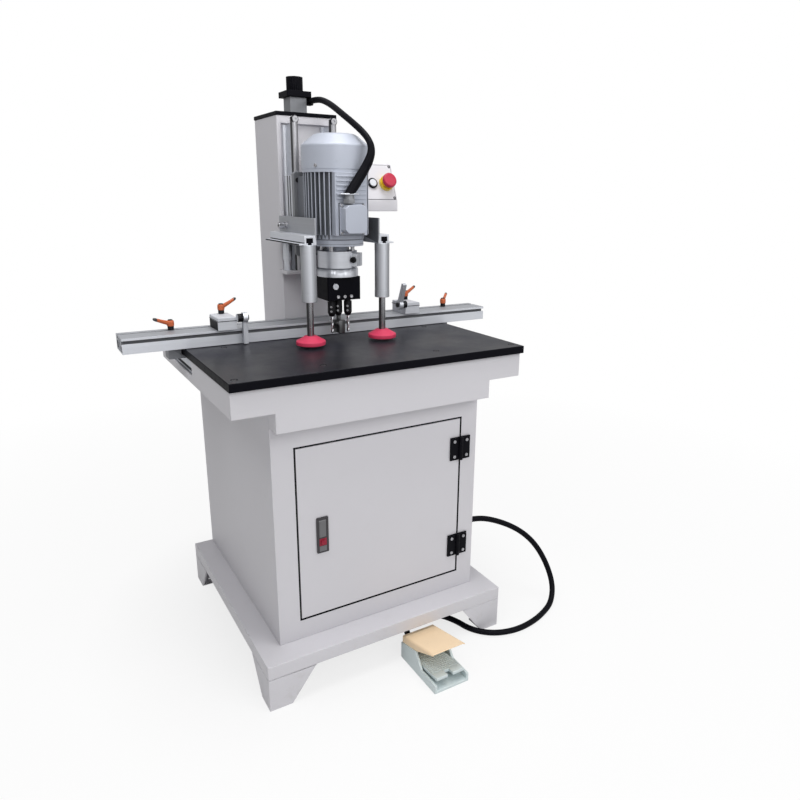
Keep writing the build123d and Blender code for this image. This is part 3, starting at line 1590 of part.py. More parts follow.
# Screws and bolts of the frame: table, hinges, panel and arms
with BuildPart() as frame_screws:
    for screw_x, screw_y in table_screws():
        cone_low = table_top_z - table_screw_cone
        turned(screw_x, screw_y,
               ((0, table_top_z - table_screw_length),
                (table_screw_radius, table_top_z - table_screw_length),
                (table_screw_radius, cone_low), (table_screw_head, table_top_z),
                (0, table_top_z)))
    for screw_x, screw_z in leaf_screws(1):
        leaf_screw(screw_x, screw_z)
    for screw_x, screw_share in panel_screw_spots:
        panel_disc(screw_x, -panel_screw_length, 0, panel_screw_radius, share=screw_share)
        panel_disc(screw_x, 0, panel_screw_head_height, panel_screw_head, share=screw_share)
    bolt_z = arm_bottom + arm_bolt_rise
    for side in (-1, 1):
        seat = side * (arm_inner + arm_plate)
        washer = seat + side * arm_bolt_washer_height
        pin_x(arm_bolt_y, bolt_z, side * (column_side - lug_thickness), seat, arm_bolt_radius)
        pin_x(arm_bolt_y, bolt_z, seat, washer, arm_bolt_washer)
        pin_x(arm_bolt_y, bolt_z, washer, washer + side * arm_bolt_head_length, arm_bolt_head)
write(frame_screws, "frame_screws")

# Pedal base with side rails that rise to cheeks, rear block and pivot pin
with BuildPart() as pedal_base:
    block((pedal_left, pedal_right), (pedal_front, pedal_rear), (0, pedal_plate))
    for side in (-1, 1):
        rail_out = pedal_x + side * pedal_width / 2
        profile_x(rail_out, rail_out - side * pedal_rail,
                  ((pedal_front, pedal_plate), (pedal_front, pedal_rail_height),
                   (cheek_front - pedal_cheek_run, pedal_rail_height),
                   (cheek_front, guard_seat(cheek_front)), (pedal_rear, guard_seat(pedal_rear)),
                   (pedal_rear, pedal_plate)))
    block_front = pedal_rear - pedal_rear_block
    profile_x(pedal_left, pedal_right,
              ((block_front, pedal_plate), (block_front, guard_seat(block_front)),
               (pedal_rear, guard_seat(pedal_rear)), (pedal_rear, pedal_plate)))
    pin_x(pedal_pin_y, pedal_pin_height - pedal_pin_radius, pedal_left + pedal_rail,
          pedal_right - pedal_rail, pedal_pin_radius)
write(pedal_base, "pedal_base")

# Treadle hinged on the pin, rising towards the front
with BuildPart() as pedal_treadle:
    pivot_z = pedal_pin_height - pedal_pin_radius
    treadle_front = pedal_front + treadle_front_margin
    treadle_left = pedal_left + pedal_rail + treadle_side_gap
    treadle_right = pedal_right - pedal_rail - treadle_side_gap
    front_z = pivot_z + treadle_front_rise
    profile_x(treadle_left, treadle_right,
              ((pedal_pin_y, pivot_z), (treadle_front, front_z),
               (treadle_front, front_z + treadle_thickness),
               (pedal_pin_y, pivot_z + treadle_eye_radius)))
    block((pedal_x - treadle_notch_width / 2, pedal_x + treadle_notch_width / 2),
          (treadle_front, treadle_front + treadle_notch_depth),
          (pivot_z, front_z + treadle_thickness), mode=Mode.SUBTRACT)
    pin_x(pedal_pin_y, pivot_z, treadle_left, treadle_right, treadle_eye_radius)
    pin_x(pedal_pin_y, pivot_z, treadle_left, treadle_right,
          pedal_pin_radius + running_clearance, mode=Mode.SUBTRACT)
write(pedal_treadle, "pedal_treadle")

# Hood over the treadle, open at the front and underside, its sides cut away forward
with BuildPart() as pedal_guard:
    guard_form(guard_rear, 0)
    guard_form(guard_rear - guard_sheet, guard_sheet, mode=Mode.SUBTRACT)
    skirt_low = guard_seat(guard_front) + guard_side - guard_skirt
    cheek_top = guard_seat(cheek_front)
    profile_x(pedal_left, pedal_right,
              ((cheek_front, cheek_top), (guard_front, skirt_low), (guard_front, cheek_top)),
              mode=Mode.SUBTRACT)
write(pedal_guard, "pedal_guard")

# Glands of the hose and the socket at the end of the conduit
with BuildPart() as hose_glands:
    with BuildSketch(Plane.YZ.offset(cabinet_side)):
        with Locations((hose_exit_y, hose_exit_z)):
            RegularPolygon(hose_gland_radius, 6)
    extrude(amount=hose_nut_length)
    pin_x(hose_exit_y, hose_exit_z, cabinet_side + hose_nut_length,
          cabinet_side + hose_gland_length, hose_gland_radius - sheet)
    pin_y(pedal_x, pedal_hose_z, pedal_rear, pedal_rear + pedal_gland_length, pedal_gland_radius)
    block((feed_size / 2, conduit_end_x + conduit_radius + sheet),
          (conduit_end_y, conduit_end_y + conduit_socket_length),
          (conduit_end_z - conduit_radius - sheet, feed_top))
write(hose_glands, "hose_glands")

# Pedal hose and motor conduit
pedal_hose = cord(hose_points, hose_radius)
write(pedal_hose, "pedal_hose")
motor_conduit = cord(conduit_points, conduit_radius)
write(motor_conduit, "motor_conduit")

# Control gear inside the cabinet
with BuildPart() as cabinet_gear:
    plate_rear = cabinet_rear - cabinet_sheet
    plate_front = plate_rear - gear_plate_sheet
    block((-gear_plate_half, gear_plate_half), (plate_front, plate_rear),
          (gear_plate_bottom, gear_plate_top))

with BuildPart() as cabinet_devices:
    devices = ((contactor_x, contactor_z, contactor_width, contactor_depth, contactor_height),
               (relay_x, relay_z, relay_width, relay_depth, relay_height),
               (valve_x, valve_z, valve_width, valve_depth, valve_height))
    for device_x, device_z, wide, deep, high in devices:
        block((device_x - wide / 2, device_x + wide / 2), (plate_front - deep, plate_front),
              (device_z - high / 2, device_z + high / 2))
write_group((cabinet_gear, cabinet_devices), "cabinet_gear")
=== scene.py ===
"""Finishes, fittings and studio for a packed hinge boring machine.

Lengths are in metres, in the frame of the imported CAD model. Only turned profiles and screw sizes
are written in millimetres.
"""

import json
from math import cos, hypot, pi, radians, sin, tan

import bmesh
import bpy
from bpy.props import FloatProperty, FloatVectorProperty, IntProperty, PointerProperty
from mathutils import Matrix, Vector
from mathutils.bvhtree import BVHTree

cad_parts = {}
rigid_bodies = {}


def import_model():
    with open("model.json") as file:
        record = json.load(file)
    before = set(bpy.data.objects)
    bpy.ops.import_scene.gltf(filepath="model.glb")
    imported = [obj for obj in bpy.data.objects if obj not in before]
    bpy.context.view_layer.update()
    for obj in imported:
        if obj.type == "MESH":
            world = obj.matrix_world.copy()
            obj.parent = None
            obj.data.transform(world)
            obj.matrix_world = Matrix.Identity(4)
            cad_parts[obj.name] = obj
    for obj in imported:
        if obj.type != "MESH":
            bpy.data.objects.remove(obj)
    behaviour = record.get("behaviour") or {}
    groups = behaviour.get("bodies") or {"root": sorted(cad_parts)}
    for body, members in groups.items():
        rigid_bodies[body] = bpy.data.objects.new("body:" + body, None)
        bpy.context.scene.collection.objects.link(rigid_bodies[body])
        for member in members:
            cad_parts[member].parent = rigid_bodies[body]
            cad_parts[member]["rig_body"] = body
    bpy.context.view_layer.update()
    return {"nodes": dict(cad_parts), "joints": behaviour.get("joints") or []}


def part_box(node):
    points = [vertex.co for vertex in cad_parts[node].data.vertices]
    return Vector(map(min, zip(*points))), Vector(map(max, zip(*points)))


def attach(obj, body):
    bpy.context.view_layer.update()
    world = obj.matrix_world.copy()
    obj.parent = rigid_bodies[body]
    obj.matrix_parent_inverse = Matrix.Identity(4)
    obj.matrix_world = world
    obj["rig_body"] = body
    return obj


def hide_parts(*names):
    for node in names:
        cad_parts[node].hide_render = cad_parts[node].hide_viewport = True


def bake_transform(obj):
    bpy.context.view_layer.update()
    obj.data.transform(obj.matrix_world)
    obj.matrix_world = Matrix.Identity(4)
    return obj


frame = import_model()

bl_info = {
    "name": "Hinge Boring Machine",
    "version": (1, 0, 0),
    "blender": (4, 5, 0),
    "location": "View3D > Sidebar > Boring Machine",
    "description": "Finishes, fittings and studio for a hinge boring machine",
    "category": "Object",
}

PIVOTS = {joint["name"]: Vector(joint["pos_m"]) for joint in frame["joints"] if "pos_m" in joint}
UP, AHEAD, BACK = Vector((0, 0, 1)), Vector((0, -1, 0)), Vector((0, 1, 0))
SIDES = (-1, 1)

# Angles from which an edge stays sharp in the shading, on soft forms too, or is rounded.
SHARP, SOFT, CORNER = radians(34), radians(48), radians(38)

# Direction across the camera's view, in plan, along which the tubes' highlight and shade are
# painted.
ACROSS_VIEW = (0.857, -0.515)

# Tints up to this reflect less.
DARK_TINT = 0.05


# Settings


def number(name, description, default, **kind):
    return FloatProperty(name=name, description=description, default=default, **kind)


def length(name, description, default):
    return number(name, description, default, unit="LENGTH", min=0.0, precision=5)


def degrees(name, description, default):
    return number(name, description, radians(default), subtype="ANGLE")


def power(name, description, default):
    return number(name, description, default, unit="POWER")


def whole(name, description, default, least):
    return IntProperty(name=name, description=description, default=default, min=least)


def colour(name, description, default):
    return FloatVectorProperty(name=name, description=description, subtype="COLOR",
                               size=3, min=0.0, max=1.0, default=default)


class BoringColours(bpy.types.PropertyGroup):
    """Colours of the finishes."""

    cabinet: colour("Cabinet", "Off-white powder coat of the sheet metal", (0.640, 0.630, 0.664))
    dust: colour("Dust", "Workshop dust that settles low on the paint", (0.36, 0.34, 0.31))
    table: colour("Table", "Black coat of the table plate", (0.010, 0.010, 0.013))
    motor: colour("Motor", "Light blue-grey paint of the motor castings", (0.445, 0.475, 0.550))
    aluminium: colour("Aluminium", "Anodised extrusions", (0.66, 0.68, 0.73))
    steel: colour("Steel", "Ground and turned steel", (0.44, 0.44, 0.46))
    black: colour("Black", "Black plastic and blackened steel", (0.0042, 0.0042, 0.0065))
    lever: colour("Lever", "Orange handles of the clamp levers", (0.52, 0.120, 0.042))
    tip: colour("Lever tip", "Grey tips of the clamp levers", (0.060, 0.056, 0.058))
    pad: colour("Pad", "Pink rubber of the hold-down pads", (0.64, 0.046, 0.112))
    guard: colour("Pedal guard", "Sand-orange paint of the pedal hood", (0.95, 0.73, 0.48))
    pedal: colour("Pedal", "Grey-teal paint of the pedal base", (0.62, 0.70, 0.71))
    stop_red: colour("Stop button", "Red of the stop and latch buttons", (0.47, 0.020, 0.056))
    stop_yellow: colour("Stop collar", "Yellow collar under the stop button", (0.82, 0.58, 0.03))
    start: colour("Start button", "Pale cap of the start button", (0.62, 0.64, 0.68))
    latch: colour("Latch", "Satin plating of the door latch", (0.060, 0.057, 0.062))
    # Painted shade: this colour darkens faces inside slots and grooves, where shade falls.
    shade: colour("Shade", "Dirt and oil in slots and between fins", (0.16, 0.165, 0.18))


class BoringSizes(bpy.types.PropertyGroup):
    """Sizes of the added details."""

    fold_radius: length("Sheet fold", "Rounding of folded sheet edges", 0.0016)
    machined_edge: length("Machined edge", "Broken edge of machined parts", 0.0007)
    cast_edge: length("Cast edge", "Rounding of cast and moulded edges", 0.0012)
    lever_voxel: length("Lever voxel", "Grid on which a lever's hub and arm are joined", 0.0008)
    rib_height: length("Treadle rib", "Height of the ribs on the treadle", 0.0014)
    rib_count: whole("Treadle ribs", "Number of ribs on the treadle", 11, 1)
    drill_lead: length("Drill lead", "Length of one turn of the drill flutes", 0.034)
    flute_depth: number("Flute depth", "Depth of a drill flute against the drill radius", 0.42,
                        subtype="FACTOR", min=0.0, max=1.0)
    screw_seed: whole("Screw seed", "Seed for how far each screw is turned", 11, 0)


class BoringStudio(bpy.types.PropertyGroup):
    """Camera and light."""

    camera_place: FloatVectorProperty(name="Camera", description="Place of the camera",
                                      subtype="TRANSLATION", size=3,
                                      default=(-0.7683, -1.6860, 1.2285))
    heading: degrees("Heading", "Turn of the camera from straight ahead", 30.96)
    pitch: degrees("Pitch", "Camera's tilt below the horizon", 16.81)
    roll: degrees("Roll", "Camera's roll", 0.573)
    lens: number("Lens", "Focal length in millimetres", 29.93)
    shift: FloatVectorProperty(name="Shift", description="Sideways and upward shift of the view",
                               size=2, default=(-0.0085, -0.0024))
    key_power: power("Key light", "Large lamp above the front right", 36.0)
    fill_power: power("Fill light", "Large lamp ahead of the machine", 29.0)
    side_power: power("Side light", "Lamp high on the left", 20.0)
    top_power: power("Top light", "Lamp over the machine", 48.0)
    sky: number("Sky", "Strength of the even light from all round", 0.26)


# Shader maths


class Signal:
    """A node socket that takes part in Python arithmetic."""

    def __init__(self, sheet, socket):
        self.sheet, self.socket = sheet, socket

    def maths(self, operation, first, second):
        return self.sheet.node("ShaderNodeMath", {"operation": operation}, {0: first, 1: second})

    def __add__(self, other):
        return self.maths("ADD", self, other)

    def __sub__(self, other):
        return self.maths("SUBTRACT", self, other)

    def __rsub__(self, other):
        return self.maths("SUBTRACT", other, self)

    def __mul__(self, other):
        return self.maths("MULTIPLY", self, other)

    __radd__, __rmul__ = __add__, __mul__


class NodeSheet:
    """A node tree that is filled by expressions."""

    def __init__(self, tree):
        self.tree = tree
        tree.nodes.clear()

    def node(self, kind, settings=None, inputs=None, output=0):
        """Adds a node, its settings first, then the values or links of its sockets."""
        made = self.tree.nodes.new(kind)
        for key, value in (settings or {}).items():
            setattr(made, key, value)
        for key, value in (inputs or {}).items():
            if isinstance(value, Signal):
                self.tree.links.new(value.socket, made.inputs[key])
            else:
                made.inputs[key].default_value = value
        return Signal(self, made.outputs[output])

    def end(self, kind, signal):
        """Adds the tree's output node."""
        self.tree.links.new(signal.socket, self.tree.nodes.new(kind).inputs[0])

    def light_paths(self):
        """Whether a ray comes from the camera, a reflection or through something clear."""
        return [self.node("ShaderNodeLightPath", output=f"Is {kind} Ray")
                for kind in ("Camera", "Glossy", "Transmission")]


class Finish(NodeSheet):
    """A material whose surface is written as expressions."""

    def __init__(self, name):
        self.material = bpy.data.materials.new(name)
        self.material.use_nodes = True
        super().__init__(self.material.node_tree)
        self.place = self.node("ShaderNodeTexCoord", output="Object")

    def noise(self, scale, detail=2.0, stretch=(1, 1, 1), roughness=0.5):
        """Noise from 0 to 1, with that many waves to the metre, closer along the stretched axes."""
        spot = self.node("ShaderNodeMapping", None, {"Vector": self.place, "Scale": stretch})
        return self.node("ShaderNodeTexNoise", None,
                         {"Vector": spot, "Scale": scale, "Detail": detail, "Roughness": roughness})

    def window(self, value, low, high):
        """0 below low, 1 above high and even between."""
        return self.node("ShaderNodeMapRange", {"clamp": True},
                         {"Value": value, "From Min": low, "From Max": high})

    def patches(self, scale, detail, roughness, low, high):
        """Patches where noise rises from low to high."""
        return self.window(self.noise(scale, detail, roughness=roughness), low, high)

    def axis(self, name):
        return self.node("ShaderNodeSeparateXYZ", None, {"Vector": self.place}, output=name)

    def mix(self, factor, first, second):
        """Colour between two colours."""
        return self.node("ShaderNodeMix", {"data_type": "RGBA"},
                         {0: factor, 6: opaque(first), 7: opaque(second)}, output=2)

    def tones(self, factor, tint, dark, light):
        """Colour between two tones of a tint."""
        return self.mix(factor, toned(tint, dark), toned(tint, light))

    def bump(self, height, strength, distance):
        return self.node("ShaderNodeBump", None,
                         {"Height": height, "Strength": strength, "Distance": distance})

    def shade(self, base, roughness, normal, metallic=0.0, coat=0.0, specular=0.5):
        """Ends the tree with its surface and gives the material."""
        sockets = {"Base Color": opaque(base), "Roughness": roughness, "Metallic": metallic,
                   "Coat Weight": coat, "Coat Roughness": 0.12, "Specular IOR Level": specular,
                   "Normal": normal}
        self.end("ShaderNodeOutputMaterial", self.node("ShaderNodeBsdfPrincipled", None, sockets))
        return self.material


def opaque(tint):
    """A colour with its alpha, or the signal that carries one."""
    return tint if isinstance(tint, Signal) else (*tint[:3], 1.0)


def toned(tint, factor):
    return tuple(min(1.0, part * factor) for part in tint)


# Finishes


def powder_coat(name, tint, gloss=0.40):
    """Stove-enamelled sheet with fine orange peel, faint clouds and dust low down."""
    paint = Finish(name)
    peel = paint.noise(520, 1.0)
    cloud = paint.noise(3.2, 3.0)
    rub = paint.patches(24, 6.0, 0.72, 0.55, 0.80)
    low = 1 - paint.window(paint.axis("Z"), 0.0, 0.16)
    soiled = rub * (0.05 + 0.34 * low)
    base = paint.tones(cloud, tint, 0.95, 1.02)
    base = paint.mix(soiled, base, bpy.context.scene.boring_colours.dust)
    return paint.shade(base, gloss + 0.12 * cloud + 0.25 * soiled, paint.bump(peel, 0.10, 0.0003))


def table_coat(name, tint):
    """Black coated plate with wiped, bluish clouding that is partly a painted sheen, fine scratches
    and a few bright scuffs.
    """
    paint = Finish(name)
    haze_and_sheen = paint.patches(5.5, 5.0, 0.62, 0.36, 0.74)
    across = paint.window(paint.noise(1, 3.0, stretch=(7, 420, 40)), 0.64, 0.72)
    along = paint.window(paint.noise(1, 3.0, stretch=(380, 9, 40)), 0.66, 0.74)
    scuffs = paint.patches(31, 4.0, 0.8, 0.71, 0.78)
    scratches = (across + along) * 0.35
    # Wiped clouding, its blue tint a painted sheen.
    base = paint.mix(haze_and_sheen, tint, (0.020, 0.021, 0.030))
    base = paint.mix(scratches * 0.22 + scuffs * 0.30, base, (0.20, 0.20, 0.22))
    grain = paint.noise(900, 1.0)
    return paint.shade(base, 0.30 + 0.20 * haze_and_sheen + 0.10 * scratches,
                       paint.bump(grain - 0.5 * scratches, 0.10, 0.0002), specular=0.20)


def brushed(name, tint, grain, gloss=0.34, metallic=0.55, tubes=None):
    """Metal with fine draw lines; grain gives the waves to the metre along each axis.

    A pair of tubes, given by reach, depth and radius, gets one painted highlight and painted shade
    on its flanks.
    """
    metal = Finish(name)
    lines = metal.noise(1, 2.0, stretch=grain)
    broad = metal.noise(0.25, 2.0, stretch=grain)
    smudge = metal.patches(14, 4.0, 0.65, 0.42, 0.76)
    base = metal.tones(lines * 0.6 + broad * 0.4, tint, 0.80, 1.06)
    # Painted highlight and painted shade across each tube, set across the camera's view.
    if tubes:
        reach, depth, radius = tubes
        x = metal.axis("X")
        nearest = reach * metal.node("ShaderNodeMath", {"operation": "SIGN"}, {0: x})
        right, back = ACROSS_VIEW
        across = ((x - nearest) * right + (metal.axis("Y") - depth) * back) * (1 / radius)
        painted_light = metal.window(across, -1.1, 0.3) * (1 - 0.75 * metal.window(across, 0.38, 0.85))
        base = metal.mix(painted_light, metal.tones(lines, tint, 0.34, 0.44),
                         metal.tones(lines, tint, 0.95, 1.25))
    return metal.shade(base, gloss + 0.12 * lines + 0.12 * smudge,
                       metal.bump(lines, 0.06, 0.0002), metallic)


def black_enamel(name, tint):
    """Smooth black enamel with a few dusty fingerprints."""
    paint = Finish(name)
    prints = paint.patches(55, 5.0, 0.7, 0.52, 0.80)
    peel = paint.noise(420, 1.0)
    base = paint.mix(prints * 0.2, tint, (0.014, 0.014, 0.018))
    return paint.shade(base, 0.46 + 0.20 * prints, paint.bump(peel, 0.05, 0.0002), specular=0.04)


def cast_paint(name, tint, gloss=0.36):
    """Sprayed paint on a casting, with a sand texture, faint clouds and patches of grime."""
    paint = Finish(name)
    sand = paint.noise(330, 3.0, roughness=0.6)
    cloud = paint.noise(16, 4.0)
    grime = paint.patches(42, 5.0, 0.75, 0.60, 0.84)
    base = paint.tones(cloud, tint, 0.92, 1.04)
    base = paint.mix(grime * 0.28, base, toned(tint, 0.34))
    return paint.shade(base, gloss + 0.16 * sand + 0.14 * grime, paint.bump(sand, 0.22, 0.0004),
                       metallic=0.12, coat=0.15)


def moulded(name, tint, gloss=0.34, texture=0.10, coat=0.0):
    """Injection-moulded plastic with a fine spark-eroded texture and a few rubbed spots."""
    plastic = Finish(name)
    spark = plastic.noise(1500, 2.0)
    cloud = plastic.noise(60, 3.0)
    rub = plastic.patches(140, 4.0, 0.7, 0.60, 0.80)
    base = plastic.tones(cloud, tint, 0.88, 1.06)
    base = plastic.mix(rub * 0.16, base, toned(tint, 1.7))
    return plastic.shade(base, gloss + 0.14 * cloud + 0.12 * rub,
                         plastic.bump(spark, texture, 0.0002), coat=coat,
                         specular=0.30 if max(tint) > DARK_TINT else 0.06)


def rubber(name, tint, gloss=0.52, bloom=0.22):
    """Soft rubber with a matt bloom and specks of chip dust."""
    skin = Finish(name)
    fine = skin.noise(800, 3.0)
    cloud = skin.noise(38, 4.0, roughness=0.65)
    specks = skin.patches(430, 2.0, 0.5, 0.70, 0.78)
    base = skin.tones(cloud, tint, 0.86, 1.08)
    base = skin.mix(specks * bloom, base, (0.55, 0.50, 0.46))
    return skin.shade(base, gloss + 0.18 * cloud, skin.bump(fine, 0.14, 0.0003),
                      specular=0.34 if max(tint) > DARK_TINT else 0.06)


def blackened(name, tint):
    """Oxide-black steel, rubbed to bare metal here and there."""
    metal = Finish(name)
    grain = metal.noise(620, 3.0)
    worn = metal.patches(120, 4.0, 0.7, 0.58, 0.78)
    base = metal.mix(worn * 0.4, tint, (0.10, 0.10, 0.11))
    return metal.shade(base, 0.40 - 0.10 * worn + 0.10 * grain, metal.bump(grain, 0.10, 0.0002),
                       metallic=0.55)


ALONG_X, ALONG_Y, ALONG_Z = (5, 700, 700), (700, 5, 700), (500, 500, 4)
# Reach, depth and radius of the hold-down tubes, for their painted highlight and shade.
HOLD_DOWN_TUBES = (0.106, -0.092, 0.020)

# Each finish: how it is mixed, its colour, the colour's tone and what else the mix takes.
RECIPES = {
    "cabinet_coat": (powder_coat, "cabinet", 1),
    "table_coat": (table_coat, "table", 1),
    "black_coat": (black_enamel, "black", 1),
    "pedal_coat": (cast_paint, "pedal", 1, 0.40),
    "guard_coat": (cast_paint, "guard", 1, 0.42),
    "motor_coat": (cast_paint, "motor", 1),
    "slot_shade": (cast_paint, "shade", 1, 0.55),
    # Darker motor paint: painted shade between the fins, on the housing's rear flanks and in rings
    # on the flange.
    "fin_shade": (cast_paint, "motor", 0.30, 0.55),
    "aluminium_x": (brushed, "aluminium", 0.80, ALONG_X),
    # Paler, less metallic aluminium: the stop blocks' own tone, and painted light on the fence's
    # front.
    "aluminium_face": (brushed, "aluminium", 1, ALONG_X, 0.42, 0.25),
    # Darker aluminium: painted shade on the fence's top.
    "aluminium_top": (brushed, "aluminium", 0.62, ALONG_X, 0.42),
    "aluminium_y": (brushed, "aluminium", 1, ALONG_Y),
    "aluminium_z": (brushed, "aluminium", 1, ALONG_Z),
    "aluminium_turned": (brushed, "aluminium", 1, (30, 30, 900), 0.28, 0.7),
    # Aluminium with a painted highlight and painted shade across the hold-down tubes.
    "aluminium_tube": (brushed, "aluminium", 0.86, ALONG_Z, 0.34, 0.35, HOLD_DOWN_TUBES),
    # Darker aluminium: painted shade on the left hold-down arm's upright plate.
    "aluminium_grey": (brushed, "aluminium", 0.55, ALONG_Y, 0.40),
    # Dull, darker aluminium; on the right hold-down arm's plate it is painted shade.
    "aluminium_dull": (brushed, "aluminium", 0.36, ALONG_Z, 0.42),
    "steel_shaft": (brushed, "steel", 0.95, ALONG_Z, 0.36, 0.9),
    # Dark steel: the table screws' own tone, and painted shade on the flanks of the guide shafts
    # and hold rods.
    "steel_oiled": (brushed, "steel", 0.18, ALONG_Z, 0.40, 0.9),
    "steel_ground": (brushed, "steel", 1, (400, 400, 40), 0.20, 1.0),
    "steel_turned": (brushed, "steel", 1, (30, 30, 1200), 0.17, 1.0),
    "steel_bright": (brushed, "steel", 1.25, (60, 60, 300), 0.10, 1.0),
    "steel_dark": (brushed, "steel", 0.90, (60, 60, 500), 0.16, 1.0),
    "steel_cutter": (brushed, "steel", 0.20, (300, 300, 900), 0.34, 0.9),
    "carbide": (brushed, "steel", 0.55, (900, 900, 300), 0.28, 1.0),
    "latch_plating": (brushed, "latch", 1, (40, 300, 300), 0.32, 0.6),
    "latch_satin": (brushed, "steel", 0.40, ALONG_Z, 0.36, 0.7),
    "steel_black": (blackened, "black", 1),
    "black_plastic": (moulded, "black", 1, 0.38),
    "lever_tip": (moulded, "tip", 1, 0.40),
    "lever_plastic": (moulded, "lever", 1, 0.36, 0.14, 0.1),
    "red_plastic": (moulded, "stop_red", 1, 0.34, 0.05, 0.1),
    "latch_red": (moulded, "stop_red", 0.62, 0.40, 0.05),
    "yellow_plastic": (moulded, "stop_yellow", 1, 0.32, 0.05, 0.2),
    "pale_plastic": (moulded, "start", 1, 0.25, 0.03, 0.4),
    "pad_rubber": (rubber, "pad", 1, 0.48, 0.10),
    "black_rubber": (rubber, "black", 1, 0.36, 0.05),
}


def finish(name):
    """The finish of that name, mixed when it is first asked for."""
    title = f"{name}_finish"
    mixed, tint, tone, *rest = RECIPES[name]
    tint = toned(getattr(bpy.context.scene.boring_colours, tint), tone)
    return bpy.data.materials.get(title) or mixed(title, tint, *rest)


# Meshes


def linked(name, data):
    """A new object in the scene."""
    obj = bpy.data.objects.new(name, data)
    bpy.context.scene.collection.objects.link(obj)
    return obj


def frozen(obj):
    """Turns what the modifiers make of an object into its plain mesh."""
    depsgraph = bpy.context.evaluated_depsgraph_get()
    mesh = bpy.data.meshes.new_from_object(obj.evaluated_get(depsgraph), depsgraph=depsgraph,
                                           preserve_all_data_layers=True)
    obj.modifiers.clear()
    obj.data = mesh
    return obj


def shaped(name, bm):
    """An object from a finished bmesh."""
    mesh = bpy.data.meshes.new(name)
    bm.to_mesh(mesh)
    bm.free()
    return linked(name, mesh)


def smoothed(obj, angle=SHARP):
    """Smooth shading that keeps real edges sharp and flat faces flat."""
    obj.data.shade_smooth()
    obj.data.set_sharp_from_angle(angle=angle)
    obj.modifiers.new("Flat faces", "WEIGHTED_NORMAL").keep_sharp = True
    return frozen(obj)


def solid(name, bm, angle=SHARP):
    """A smooth-shaded object from closed shells, which are turned outward."""
    bmesh.ops.recalc_face_normals(bm, faces=bm.faces)
    return smoothed(shaped(name, bm), angle)


def placed(obj, body, coats, stands_for=None):
    """Gives a piece its finishes, the body it rides on and the node it stands for."""
    obj.data.materials.clear()
    for coat in coats.split():
        obj.data.materials.append(finish(coat))
    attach(obj, body)
    if stands_for:
        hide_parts(stands_for)
    return obj


def piece(name, bm, body, coats, stands_for=None, angle=SHARP):
    return placed(solid(name, bm, angle), body, coats, stands_for)


def welded(bm):
    bmesh.ops.remove_doubles(bm, verts=bm.verts, dist=2e-6)
    return bm


def rounded(bm, edges, width, clamp):
    bmesh.ops.bevel(bm, geom=list(edges), offset=width, offset_type="OFFSET", segments=2,
                    profile=0.5, affect="EDGES", clamp_overlap=clamp)


def shade_slots(mesh, reach, index, zone):
    """Paints shade: gives a finish to faces between two heights that look on others within reach,
    as in slots.
    """
    tree = BVHTree.FromPolygons([vert.co for vert in mesh.vertices],
                                [face.vertices for face in mesh.polygons])
    for face in mesh.polygons:
        if not zone[0] < face.center.z < zone[1]:
            continue
        ends = [mesh.vertices[corner].co for corner in face.vertices]
        along = max((b - a for a, b in zip(ends, ends[1:] + ends[:1])), key=lambda run: run.length)
        across = face.normal.cross(along)
        hits = 0
        for side in (Vector(), along, -along, across, -across):
            way = (0.6 * face.normal + side.normalized()).normalized()
            hits += tree.ray_cast(face.center + face.normal * 1e-5, way, reach)[0] is not None
        if hits > 1:
            face.material_index = index


def rides_on(node):
    return frame["nodes"][node]["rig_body"]


def dressed(node, coats, edge=0.0, rule=None, cut_below=None, slot_reach=None,
            slot_zone=(0.0, 9.0)):
    """A finished copy of a CAD node that stands for it, its long sharp edges rounded.

    rule picks a finish for each face by its middle; slot_reach gives the last finish to slots, as
    painted shade, between the heights of slot_zone.
    """
    bm = bmesh.new()
    bm.from_mesh(frame["nodes"][node].data)
    welded(bm)
    if cut_below is not None:
        bmesh.ops.bisect_plane(bm, geom=bm.verts[:] + bm.edges[:] + bm.faces[:],
                               plane_co=(0, 0, cut_below), plane_no=UP, clear_inner=True)
        bmesh.ops.holes_fill(bm, edges=[side for side in bm.edges if side.is_boundary])
    if edge:
        rounded(bm, [side for side in bm.edges
                     if len(side.link_faces) == 2 and side.calc_length() > 5 * edge
                     and side.calc_face_angle() > CORNER], edge, False)
        low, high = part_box(node)
        for vert in bm.verts:
            vert.co = [min(max(part, bottom), top) for part, bottom, top in zip(vert.co, low, high)]
    obj = placed(smoothed(shaped(f"{node}_finished", bm)), rides_on(node), coats, node)
    if rule:
        for face in obj.data.polygons:
            face.material_index = rule(face.center)
    if slot_reach:
        shade_slots(obj.data, slot_reach, len(obj.data.materials) - 1, slot_zone)


def box_sides(node):
    return zip(*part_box(node))


def rays(count, start=0.0):
    """Cosine and sine of directions evenly round a circle."""
    return [(cos(start + 2 * pi * step / count), sin(start + 2 * pi * step / count))
            for step in range(count)]


def bridged(bm, rings, closed=False):
    """Faces from ring to ring; the end rings are capped or, when it is closed, joined."""
    for first, second in zip(rings, rings[1:] + rings[:1] if closed else rings[1:]):
        for step in range(len(first)):
            after = (step + 1) % len(first)
            bm.faces.new((first[step], first[after], second[after], second[step]))
    if not closed:
        bm.faces.new(rings[0][::-1])
        bm.faces.new(rings[-1])


def lathe(*numbers, base=0.0):
    """Radius and height pairs from numbers in millimetres, above a base in metres."""
    return [(radius / 1000, base + height / 1000)
            for radius, height in zip(numbers[::2], numbers[1::2])]


